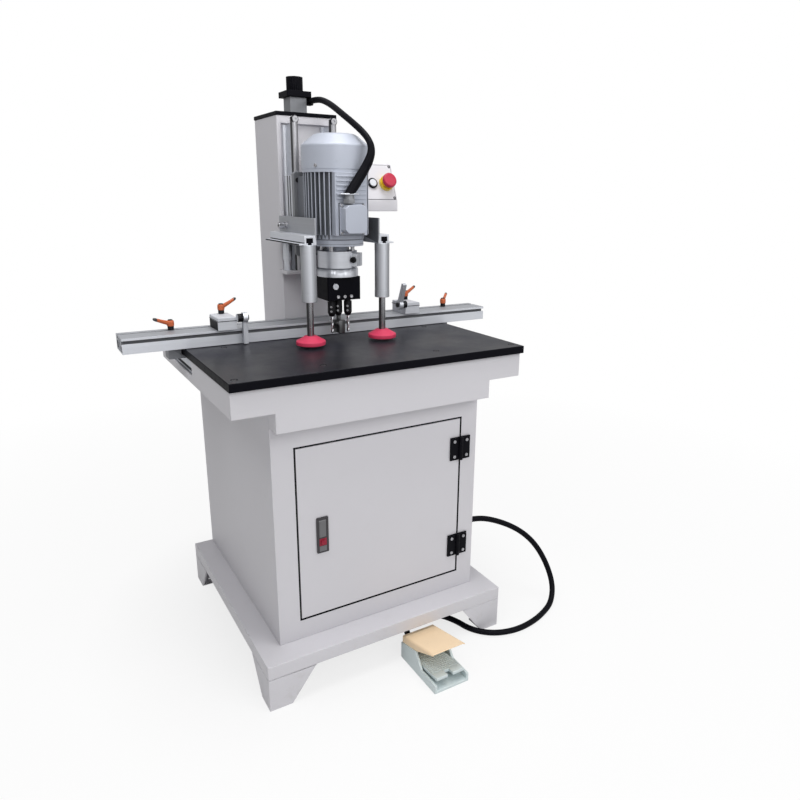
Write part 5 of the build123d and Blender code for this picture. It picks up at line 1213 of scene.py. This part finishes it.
class BORING_OT_boring_head(bpy.types.Operator):
    """Finishes the saddle, gearbox, collar, chucks, drills and the hinge cutter"""

    bl_idname = "boring.boring_head"
    bl_label = "Boring head"

    chuck_low: length("Chucks", "Height of the underside of the side chucks", 0.918)
    drill_radius: length("Drill radius", "Radius of the side drills", 0.0036)
    plug_radius: length("Oil plug", "Radius of the gearbox's oil plug", 0.0080)
    plug_slot: length("Plug slot", "Half the width of the oil plug's slot", 0.0013)
    plug_turn: degrees("Plug turn", "Turn of the oil plug's slot", 38)
    bolt_heading: degrees("Collar bolt", "Heading of the collar's clamp bolt", -50)
    screw_level: length("Gearbox screws", "Height of the gearbox's front screws", 0.9735)
    screw_step: length("Screw step", "Step of the gearbox's front screws", 0.0192)
    standoff_ring: length("Standoffs", "Radius of the ring of standoffs", 0.043)
    set_screw_reach: length("Set screws", "Tops of a chuck's set screws from its axis", 0.0113)

    plug_place = (-0.026, 1.0006)
    set_screw_levels, set_screw_way = (0.932, 0.944), Vector((0.5, 0.866, 0))
    bolt_level, bolt_reach, bolt_aside = 1.0695, 0.0555, 0.0235
    standoff = lathe(0, 0, 5.5, 0, 6, 0.6, 6, 4, 5.2, 4.6, 5.2, 9.4, 6, 10, 6, 13.4, 5.5, 14, 0, 14)

    def twist_drill(self, name, low, high):
        """Two-flute drill with a cone point, twisted along its length."""
        sizes, place = bpy.context.scene.boring_sizes, PIVOTS[f"{name}_spin"]
        steps, stations = 28, 56
        bm = bmesh.new()
        rings = []
        for station in range(stations + 1):
            rise = (high - low) * station / stations
            point = min(1.0, rise / (0.9 * self.drill_radius) + 0.04)
            rings.append([])
            for step, (x, y) in enumerate(rays(steps, 2 * pi * rise / sizes.drill_lead)):
                groove = max(0.0, cos(4 * pi * step / steps)) ** 1.6
                reach = self.drill_radius * point * (1 - sizes.flute_depth * groove)
                spot = (place.x + reach * x, place.y + reach * y, low + rise)
                rings[-1].append(bm.verts.new(spot))
        bridged(bm, rings)
        piece(f"{name}_drill", bm, f"{name}_spindle", "steel_bright", angle=radians(50))

    def oil_plug(self, place):
        """Round plug with a screwdriver slot: a dark disc that paints the slot's shade and carries
        two half rounds.
        """
        bm = bmesh.new()
        radius = self.plug_radius
        disc = ((0, -0.001), (radius, -0.001), (radius, 0.001), (0, 0.001))
        turned(bm, disc, place, AHEAD, steps=48, material=1)
        start = self.plug_slot / radius
        for side in (0, pi):
            rings = []
            for scale, height in ((1.0, 0.0004), (1.0, 0.0024), (0.92, 0.0030)):
                rings.append([])
                for step in range(19):
                    turn = side + start + (pi - 2 * start) * step / 18 - self.plug_turn
                    spot = Vector((cos(turn) * scale * radius, -height, sin(turn) * scale * radius))
                    rings[-1].append(bm.verts.new(place + spot))
            bridged(bm, rings)
        piece("oil_plug", bm, "head", "aluminium_turned black_coat")

    def small_parts(self, centre):
        """Screws of the gearbox and chucks, oil plug, standoffs and the collar's clamp bolt."""
        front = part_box("gearbox_housing")[0].y
        bolts("gearbox_screws", [((step * self.screw_step, front - 0.0025, self.screw_level), AHEAD)
                                 for step in (-1, 0, 1)],
              (4.6, 3.4, 2, 1.8), "head", "steel_bright")
        plug_x, plug_z = self.plug_place
        self.oil_plug(Vector((plug_x, front, plug_z)))
        seat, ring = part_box("clamp_collar")[1].z, self.standoff_ring
        spots = [((centre.x + ring * x, centre.y + ring * y, seat), UP) for x, y in rays(4, pi / 4)]
        turnings("head_standoffs", self.standoff, spots, "head", "steel_bright", 40)
        for name in ("main", "left", "right"):
            pivot = PIVOTS[f"{name}_spin"]
            ways = [side * self.set_screw_way for side in SIDES]
            bolts(f"{name}_spindle_set_screws",
                  [(Vector((pivot.x, pivot.y, level)) + way * self.set_screw_reach, way)
                   for level in self.set_screw_levels for way in ways],
                  (2.8, 1.6, 1.4, 1), f"{name}_spindle", "steel_bright")
        x, y = cos(self.bolt_heading), sin(self.bolt_heading)
        outward, across = Vector((x, y, 0)), Vector((y, -x, 0))
        place = Vector((centre.x, centre.y, self.bolt_level)) + outward * self.bolt_reach
        bolts("collar_bolts", [(place + across * self.bolt_aside, across)], (7.8, 5.5, 3.6, 3.8),
              "head", "steel_black")

    def execute(self, context):
        edge = context.scene.boring_sizes.machined_edge
        centre = PIVOTS["main_spin"]
        dressed("head_saddle", "aluminium_dull", edge)
        dressed("bearing_blocks", "aluminium_z slot_shade", 0.5 * edge, slot_reach=0.012)
        low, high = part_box("head_saddle")
        bolts("saddle_bolts", [((side * (high.x - 0.012), low.y - 0.0052, high.z - 0.021), AHEAD)
                               for side in SIDES], (6.8, 5.6, 3.2, 3.2), "head", "steel_black")
        dressed("clamp_collar", "aluminium_turned", edge)
        dressed("gearbox_housing", "black_coat", context.scene.boring_sizes.cast_edge)
        for side in ("left", "right"):
            node = f"{side}_spindle"
            dressed(node, "steel_black", 0.0, cut_below=self.chuck_low - 0.0001)
            self.twist_drill(side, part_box(node)[0].z, self.chuck_low + 0.004)
        dressed("centre_spindle", "steel_black")
        dressed("hinge_cutter", "steel_cutter", 0.5 * edge)
        boxes("cutter_tips", [((side * 0.0072, centre.y, 0.8702),
                               (side * 0.0173, centre.y + side * 0.0011, 0.8815), 0.0002)
                              for side in SIDES], "main_spindle", "carbide")
        self.small_parts(centre)
        return {"FINISHED"}


class BORING_OT_hold_downs(bpy.types.Operator):
    """Finishes the hold-down arms and cylinders and moulds the pads"""

    bl_idname = "boring.hold_downs"
    bl_label = "Hold-downs"

    cap: length("Cylinder cap", "Height of the cylinder's end caps", 0.020)
    flange: length("Arm flange", "Width of the flange along an arm", 0.014)
    plate_rise: length("Arm plate", "Height of an arm's upright plate above its foot", 0.0235)

    pad = lathe(0, 2.4, 33, 2.4, 35, 0.6, 36.8, 0, 38, 0.5, 38.5, 1.8, 38.5, 8.6, 38.1, 9.8,
                37, 10.7, 33.6, 12.4, 28, 15.6, 23, 18.6, 19.8, 20.5, 18, 21.9, 16.6, 22.7,
                15, 23, 0, 23)
    washer = lathe(0, 0, 11, 0, 11, 1.6, 10.6, 2, 0, 2)
    bolt_place, dowel_place, washer_place = (
        (0.114, 0.090, 1.152), (0.102, 0.116, 1.152), (0.092, 0.090, 1.152))

    def cylinders(self):
        """Turned cylinders with end caps, each hung by a stud and nut in its arm's slot; the black
        blocks at the slot's mouth also paint the slot's shade.
        """
        low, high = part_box("hold_down_cylinders")
        _, front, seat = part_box("hold_down_arms")[0]
        foot, head = low.z + self.cap, seat - self.cap
        shell = (lathe(9.3, 0, 19, 0, 20, 1, base=low.z)
                 + lathe(20, -0.4, 19.4, 0, 19.4, 1, 19.7, 1.4, base=foot)
                 + lathe(19.7, -1.4, 19.4, -1, 19.4, 0, 20, 0.4, base=head)
                 + lathe(20, -0.8, 19.2, 0, 0, 0, base=seat))
        bore = (lathe(0, 0, 16, 0, base=head) + lathe(16, 0, 9.3, 0, base=foot)
                + lathe(9.3, 0, base=low.z))
        stud = lathe(0, 0, 4.5, 0, 4.5, 5.2, 0, 5.2, base=seat)
        tubes, nuts_and_shade = bmesh.new(), bmesh.new()
        for side in SIDES:
            x, y = side * (high.x - 0.020), (low.y + high.y) / 2
            for bm, profile, steps in ((tubes, shell, 96), (tubes, bore, 96), (nuts_and_shade, stud, 32)):
                turned(bm, profile, (x, y, 0), steps=steps)
            near, far = front + 0.0008, front + 0.0040
            for half, fore, rear, bottom, top, edge in (
                    (0.0080, y - 0.008, y + 0.008, seat + 0.0050, high.z, 0.0005),
                    (0.0088, near, far, seat + 0.0052, seat + 0.0168, 0.0004),
                    (0.0048, near, far, seat + 0.0004, seat + 0.0054, 0.0004)):
                bar(nuts_and_shade, (x - half, fore, bottom), (x + half, rear, top), edge)
        # The tubes' finish carries a painted highlight and painted shade.
        piece("hold_down_tubes", welded(tubes), "frame", "aluminium_tube",
              "hold_down_cylinders")
        piece("slot_plugs", nuts_and_shade, "frame", "black_plastic")

    def outward(self, x, y, z):
        """A place on the right and its mirror on the left, each facing outward."""
        return [((side * x, y, z), (side, 0, 0)) for side in SIDES]

    def arm_fittings(self):
        """Bolts, dowels and washers of the arms, and dark strips along their edges that paint shade
        on the flange's edge and where the plate meets it.
        """
        bolts("arm_bolts", self.outward(*self.bolt_place), (8.5, 20, 4.2, 6), "frame",
              "steel_turned")
        low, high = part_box("hold_down_arms")
        strips = []
        for side in SIDES:
            for reach, bottom, top in ((high.x, 0.0004, 0.0036),
                                       (high.x - self.flange, 0.0041, 0.0066)):
                strips.append(((side * (reach - 0.0006), low.y + 0.0012, low.z + bottom),
                               (side * (reach + 0.0003), high.y - 0.0012, low.z + top), 0.0001))
        boxes("arm_slot_strips", strips, "frame", "black_rubber")
        bolts("arm_dowels", self.outward(*self.dowel_place), (6, 9, 3, 4), "frame", "steel_black")
        turnings("arm_washers", self.washer, self.outward(*self.washer_place), "frame",
                 "steel_ground", 48)

    def execute(self, context):
        plate_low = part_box("hold_down_arms")[0].z + self.plate_rise

        # The upright plates take darker copies of the aluminium, the right one darkest behind the
        # motor: painted shade.
        def arm_part(middle):
            if middle.z < plate_low:
                return 0
            return 2 if middle.x > 0 else 1

        dressed("hold_down_arms", "aluminium_y aluminium_grey aluminium_dull slot_shade",
                context.scene.boring_sizes.machined_edge, arm_part, slot_reach=0.020,
                slot_zone=(0.0, plate_low - 0.004))
        self.cylinders()
        for side in ("left", "right"):
            low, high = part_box(f"{side}_pad")
            x, y = (low.x + high.x) / 2, (low.y + high.y) / 2
            # The rod's flanks take the dark steel: painted shade.
            dressed(f"{side}_hold_rod", "steel_dark steel_oiled", 0.0,
                    lambda middle, x=x: int(abs(middle.x - x) > 0.0060))
            turnings(f"{side}_pad_moulding", self.pad, [((x, y, low.z), UP)], f"{side}_hold_down",
                     "pad_rubber", 96, f"{side}_pad", radians(60))
        self.arm_fittings()
        return {"FINISHED"}


class BORING_OT_control_box(bpy.types.Operator):
    """Finishes the control box, its sloping panel and the push buttons"""

    bl_idname = "boring.control_box"
    bl_label = "Control box"

    stop_inset: length("Stop inset", "Stop button from the box's right side", 0.030)
    start_inset: length("Start inset", "Start button from the box's right side", 0.075)
    screw_inset: length("Screw inset", "Panel screws from the panel's edges", 0.009)
    slope_rise: length("Slope rise", "Foot of the slope above the box's underside", 0.029)
    button_share: number("Button share", "Place of the buttons along the slope", 0.46,
                         subtype="FACTOR", min=0.0, max=1.0)

    slope = Vector((0, 0.043, 0.105))
    mushroom = lathe(0, -8, 9, -8, 9, 18.6, 16, 19, 20, 20.2, 21.4, 22.4, 21.6, 27, 21, 29.8,
                     19.3, 31.9, 16.5, 33, 8, 32.7, 0, 32.4)
    start_cap = lathe(0, -8, 10.9, -8, 10.9, 7.6, 10.4, 8.6, 9, 9, 0, 8.8)

    def execute(self, context):
        dressed("control_box", "cabinet_coat", context.scene.boring_sizes.fold_radius)
        low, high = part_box("control_box")
        slope, long = self.slope, self.slope.length
        facing = Vector((0, -slope.z, slope.y)).normalized()
        foot = Vector((0, low.y, low.z + self.slope_rise))
        _, y, z = foot + slope * self.button_share
        stop_x, start_x = high.x - self.stop_inset, high.x - self.start_inset
        lean = Matrix((Vector((1, 0, 0)), slope.normalized(), facing)).transposed().to_4x4()
        lean = Matrix.Translation(foot + slope / 2) @ lean
        # The gasket's black rim round the panel plate also paints the shade of the gap at its
        # edges.
        for name, inset, floor, level, coat, slot in (
                ("panel_gasket", 0.0040, 0.0, 0.0005, "black_rubber", "black_rubber"),
                ("panel_plate", 0.0052, 0.0002, 0.0013, "cabinet_coat", "white_paint")):
            bm = bmesh.new()
            bar(bm, (low.x + inset, inset - long / 2, floor),
                (high.x - inset, long / 2 - inset, level), 0.0003)
            bmesh.ops.transform(bm, matrix=lean, verts=bm.verts)
            piece(name, bm, "frame", coat)
        dressed("button_collars", "yellow_plastic black_plastic", 0.0,
                lambda middle: int(middle.x < (stop_x + start_x) / 2))
        turnings("stop_mushroom", self.mushroom, [((stop_x, y, z), facing)], "e_stop_button",
                 "red_plastic", 72, "e_stop_button", SOFT)
        turnings("start_cap", self.start_cap, [((start_x, y, z), facing)], "start_button",
                 "pale_plastic", 64, "start_button", SOFT)
        inset = self.screw_inset
        bolts("panel_screws", [(Vector((x, 0, 0)) + foot + slope * part + facing * 0.0016, facing)
                               for x in (low.x + inset, high.x - inset)
                               for part in (inset / long, 1 - inset / long)],
              (4.6, 1.7, 1.8, 1), "frame", "black_plastic")
        return {"FINISHED"}


class BORING_OT_pedal(bpy.types.Operator):
    """Paints the foot pedal and lays the ribs on its treadle"""

    bl_idname = "boring.pedal"
    bl_label = "Foot pedal"

    rib_start: length("First rib", "First rib from the treadle's front edge", 0.026)
    rib_pitch: length("Rib pitch", "Step of the ribs along the treadle", 0.0078)
    front_height: length("Treadle front", "Height of the treadle's top at its front", 0.039)
    drop: length("Treadle drop", "Fall of the treadle's top to its hinge", 0.013)

    def execute(self, context):
        sizes = context.scene.boring_sizes
        for node, coat in (("pedal_base", "pedal_coat"), ("pedal_guard", "guard_coat"),
                           ("pedal_treadle", "pedal_coat")):
            dressed(node, coat, sizes.cast_edge)
        (left, right), (front, _), _ = box_sides("pedal_treadle")
        run, y = PIVOTS["pedal_press"].y - front, front + self.rib_start
        top = self.front_height - self.drop * self.rib_start / run
        bm = bmesh.new()
        bar(bm, (left + 0.004, y, top - 0.001), (right - 0.004, y + 0.004, top + sizes.rib_height),
            0.0007)
        step = Vector((0, run, -self.drop)).normalized() * self.rib_pitch
        ribs("treadle_ribs", bm, sizes.rib_count, step, "pedal_treadle", "pedal_coat")
        return {"FINISHED"}


class BORING_OT_cords(bpy.types.Operator):
    """Lays the pedal hose and the motor conduit and finishes their glands"""

    bl_idname = "boring.cords"
    bl_label = "Hose and conduit"

    hose_length: length("Hose length", "Length of the pedal hose", 1.126)
    hose_diameter: length("Hose diameter", "Outer diameter of the pedal hose", 0.017)
    conduit_length: length("Conduit length", "Length of the motor conduit", 0.480)
    conduit_diameter: length("Conduit diameter", "Outer diameter of the conduit", 0.016)
    boot_lean: length("Boot lean", "Run in which the boot leans over to the conduit", 0.034)

    hose_route = (
        (0.322, -0.215, 0.291), (0.368, -0.215, 0.291), (0.432, -0.232, 0.273),
        (0.500, -0.256, 0.237), (0.552, -0.278, 0.186), (0.585, -0.303, 0.119),
        (0.591, -0.335, 0.055), (0.560, -0.366, 0.017), (0.506, -0.390, 0.010),
        (0.441, -0.409, 0.0095), (0.373, -0.413, 0.0095), (0.308, -0.392, 0.0095),
        (0.264, -0.345, 0.0095), (0.250, -0.285, 0.0095), (0.222, -0.234, 0.0095),
        (0.173, -0.211, 0.0095), (0.119, -0.225, 0.0095), (0.085, -0.271, 0.014),
        (0.085, -0.320, 0.014))
    conduit_route = (
        (0.009, -0.140, 1.263), (0.027, -0.140, 1.288), (0.041, -0.144, 1.313),
        (0.049, -0.145, 1.337), (0.048, -0.135, 1.361), (0.041, -0.109, 1.384),
        (0.033, -0.069, 1.408), (0.029, -0.019, 1.432), (0.030, 0.038, 1.456),
        (0.033, 0.095, 1.474), (0.036, 0.150, 1.484), (0.036, 0.200, 1.484))
    boot_foot = Vector((-0.012, -0.140, 1.2350))
    boot_profile = ((0.0, 0.0139), (0.012, 0.0130), (0.030, 0.0123), (0.060, 0.0120),
                    (0.090, 0.0116), (0.108, 0.0104), (0.126, 0.0090), (0.142, 0.0082))

    def route(self, name, points):
        """Smooth curve with the route's points as its control points."""
        curve = bpy.data.curves.new(name, "CURVE")
        curve.dimensions = "3D"
        curve.resolution_u = 14
        curve.use_fill_caps = True
        spline = curve.splines.new("NURBS")
        spline.points.add(len(points) - 1)
        for control, point in zip(spline.points, points):
            control.co = (*point, 1.0)
        spline.order_u = 3
        spline.use_endpoint_u = True
        return linked(name, curve)

    def line(self, name, points):
        """Points along a route."""
        guide = self.route(name, points)
        depsgraph = bpy.context.evaluated_depsgraph_get()
        mesh = bpy.data.meshes.new_from_object(guide.evaluated_get(depsgraph))
        path = [vert.co.copy() for vert in mesh.vertices]
        bpy.data.meshes.remove(mesh)
        bpy.data.objects.remove(guide)
        return path

    def tube(self, name, points, aims, radii, steps=24):
        """Round tube along points, its sections square to aims and carried without twist."""
        bm = bmesh.new()
        rings = []
        tangent = aims[0]
        side = tangent.orthogonal().normalized()
        for point, aim, radius in zip(points, aims, radii):
            side = (tangent.rotation_difference(aim) @ side).normalized()
            tangent = aim
            across = tangent.cross(side).normalized()
            rings.append([bm.verts.new(point + radius * (x * side + y * across))
                          for x, y in rays(steps)])
        bridged(bm, rings)
        obj = shaped(name, bm)
        obj.data.shade_smooth()
        obj.data.materials.append(finish("black_rubber"))
        return obj

    def aims(self, points):
        """Direction of travel at each point."""
        last = len(points) - 1
        return [(points[min(index + 1, last)] - points[max(index - 1, 0)]).normalized()
                for index in range(last + 1)]

    def boot_radius(self, travelled):
        """Radius of the boot at a distance from its foot."""
        for (near, wide), (far, slim) in zip(self.boot_profile, self.boot_profile[1:]):
            if travelled <= far:
                return wide + (slim - wide) * (travelled - near) / (far - near)

    def boot(self, path):
        """Rubber boot that stands level on the gland and tapers along the conduit."""
        points = [self.boot_foot.lerp(path[0], step / 14) for step in range(14)] + path
        kept, leans, radii = [], [], []
        travelled, last = 0.0, points[0]
        for point, aim in zip(points, self.aims(points)):
            travelled += (point - last).length
            last = point
            if travelled > self.boot_profile[-1][0]:
                break
            kept.append(point)
            leans.append(UP.lerp(aim, min(1.0, travelled / self.boot_lean)).normalized())
            radii.append(self.boot_radius(travelled))
        kept.append(kept[-1] + leans[-1] * 0.0012)
        leans.append(leans[-1])
        radii.append(self.conduit_diameter * 0.49)
        return self.tube("conduit_sleeve", kept, leans, radii, 32)

    def execute(self, context):
        hose = self.route("pedal_hose_line", self.hose_route)
        hose.data.bevel_depth = self.hose_diameter / 2
        hose.data.bevel_resolution = 6
        placed(hose, "frame", "black_rubber", "pedal_hose")
        path = self.line("conduit_route", self.conduit_route)
        conduit = self.tube("motor_conduit_line", path, self.aims(path),
                            [self.conduit_diameter / 2] * len(path))
        for cover in (conduit, self.boot(path)):
            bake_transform(cover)
        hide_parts("motor_conduit")
        dressed("hose_glands", "black_plastic", context.scene.boring_sizes.machined_edge)
        return {"FINISHED"}


class BORING_OT_studio(bpy.types.Operator):
    """Sets the pale floor, the soft light and the camera"""

    bl_idname = "boring.studio"
    bl_label = "Studio"

    # Name, place, aim and width of each lamp.
    lamps = (("key", (1.5, -2.7, 2.7), (0, 0, 0.7), 2.4),
             ("fill", (-0.6, -3.2, 2.4), (0, 0, 1.0), 2.0),
             ("side", (-1.5, -0.8, 3.0), (0, 0.1, 1.3), 1.4),
             ("top", (0.2, -0.4, 3.6), (0, 0, 0.8), 1.6))

    def floor(self):
        """Pale floor that is near white to the camera and keeps the soft shadow."""
        coat = Finish("studio_floor")
        seen, mirrored, through = coat.light_paths()
        away = coat.node("ShaderNodeVectorMath", {"operation": "LENGTH"}, {0: coat.place},
                         output="Value")
        near, far = coat.window(away, 0.35, 0.75), coat.window(away, 0.9, 2.6)
        white_share = 0.76 + 0.14 * near + 0.10 * far
        matt = coat.node("ShaderNodeBsdfDiffuse", None, {"Color": (0.80, 0.80, 0.80, 1)})
        white = coat.node("ShaderNodeEmission", None, {"Color": (1, 1, 1, 1), "Strength": 1.0})
        factor = seen * white_share + (mirrored + through) * 0.5
        coat.end("ShaderNodeOutputMaterial",
                 coat.node("ShaderNodeMixShader", None, {0: factor, 1: matt, 2: white}))
        bm = bmesh.new()
        bmesh.ops.create_grid(bm, x_segments=1, y_segments=1, size=12.0)
        obj = shaped("studio_floor", bm)
        obj.data.materials.append(coat.material)

    def lamp(self, name, place, aim, width, watts):
        data = bpy.data.lights.new(name, "AREA")
        data.shape = "DISK"
        data.size = width
        data.energy = watts
        obj = linked(name, data)
        obj.location = place
        obj.rotation_euler = (Vector(aim) - Vector(place)).to_track_quat("-Z", "Y").to_euler()

    def world(self, strength):
        """Even light all round, white to the camera and paler in reflections."""
        world = bpy.data.worlds.new("studio_world")
        world.use_nodes = True
        sheet = NodeSheet(world.node_tree)
        seen, mirrored, through = sheet.light_paths()
        level = strength + (1 - strength) * (seen + 0.5 * (mirrored + through))
        sheet.end("ShaderNodeOutputWorld", sheet.node("ShaderNodeBackground", None,
                                                      {"Color": (1, 1, 1, 1), "Strength": level}))
        bpy.context.scene.world = world

    def camera(self, studio):
        """Camera as it was solved from the photograph."""
        heading, pitch, roll = studio.heading, studio.pitch, studio.roll
        ahead = Vector((sin(heading) * cos(pitch), cos(heading) * cos(pitch), -sin(pitch)))
        level = Vector((cos(heading), -sin(heading), 0))
        upright = level.cross(ahead)
        right = level * cos(roll) + upright * sin(roll)
        above = upright * cos(roll) - level * sin(roll)
        data = bpy.data.cameras.new("photo_camera")
        data.lens = studio.lens
        data.sensor_width = 36.0
        data.shift_x, data.shift_y = studio.shift
        camera = linked("photo_camera", data)
        turn = Matrix((right, above, -ahead)).transposed().to_4x4()
        camera.matrix_world = Matrix.Translation(Vector(studio.camera_place)) @ turn
        return camera

    def execute(self, context):
        studio = context.scene.boring_studio
        self.floor()
        self.world(studio.sky)
        for name, place, aim, width in self.lamps:
            self.lamp(f"{name}_light", place, aim, width, getattr(studio, f"{name}_power"))
        context.scene.camera = self.camera(studio)
        context.scene.view_settings.view_transform = "Standard"
        return {"FINISHED"}


# Add-on

OPERATORS = (BORING_OT_studio, BORING_OT_cords, BORING_OT_sheet_metal, BORING_OT_table,
             BORING_OT_door_fittings, BORING_OT_fence, BORING_OT_clamp_levers, BORING_OT_guides,
             BORING_OT_motor, BORING_OT_boring_head, BORING_OT_hold_downs, BORING_OT_control_box,
             BORING_OT_pedal)
GROUPS = {"boring_colours": BoringColours, "boring_sizes": BoringSizes,
          "boring_studio": BoringStudio}


class BORING_PT_machine(bpy.types.Panel):
    """Lists the steps that dress the machine"""

    bl_idname = "BORING_PT_machine"
    bl_label = "Hinge boring machine"
    bl_space_type = "VIEW_3D"
    bl_region_type = "UI"
    bl_category = "Boring Machine"

    def draw(self, context):
        for operator in OPERATORS:
            self.layout.operator(operator.bl_idname)


def register():
    for name, group in GROUPS.items():
        bpy.utils.register_class(group)
        setattr(bpy.types.Scene, name, PointerProperty(type=group))
    for item in (*OPERATORS, BORING_PT_machine):
        bpy.utils.register_class(item)


def unregister():
    for item in reversed((*OPERATORS, BORING_PT_machine)):
        bpy.utils.unregister_class(item)
    for name, group in GROUPS.items():
        delattr(bpy.types.Scene, name)
        bpy.utils.unregister_class(group)


def main():
    register()
    for operator in OPERATORS:
        family, name = operator.bl_idname.split(".")
        getattr(getattr(bpy.ops, family), name)()


if __name__ == "__main__":
    main()
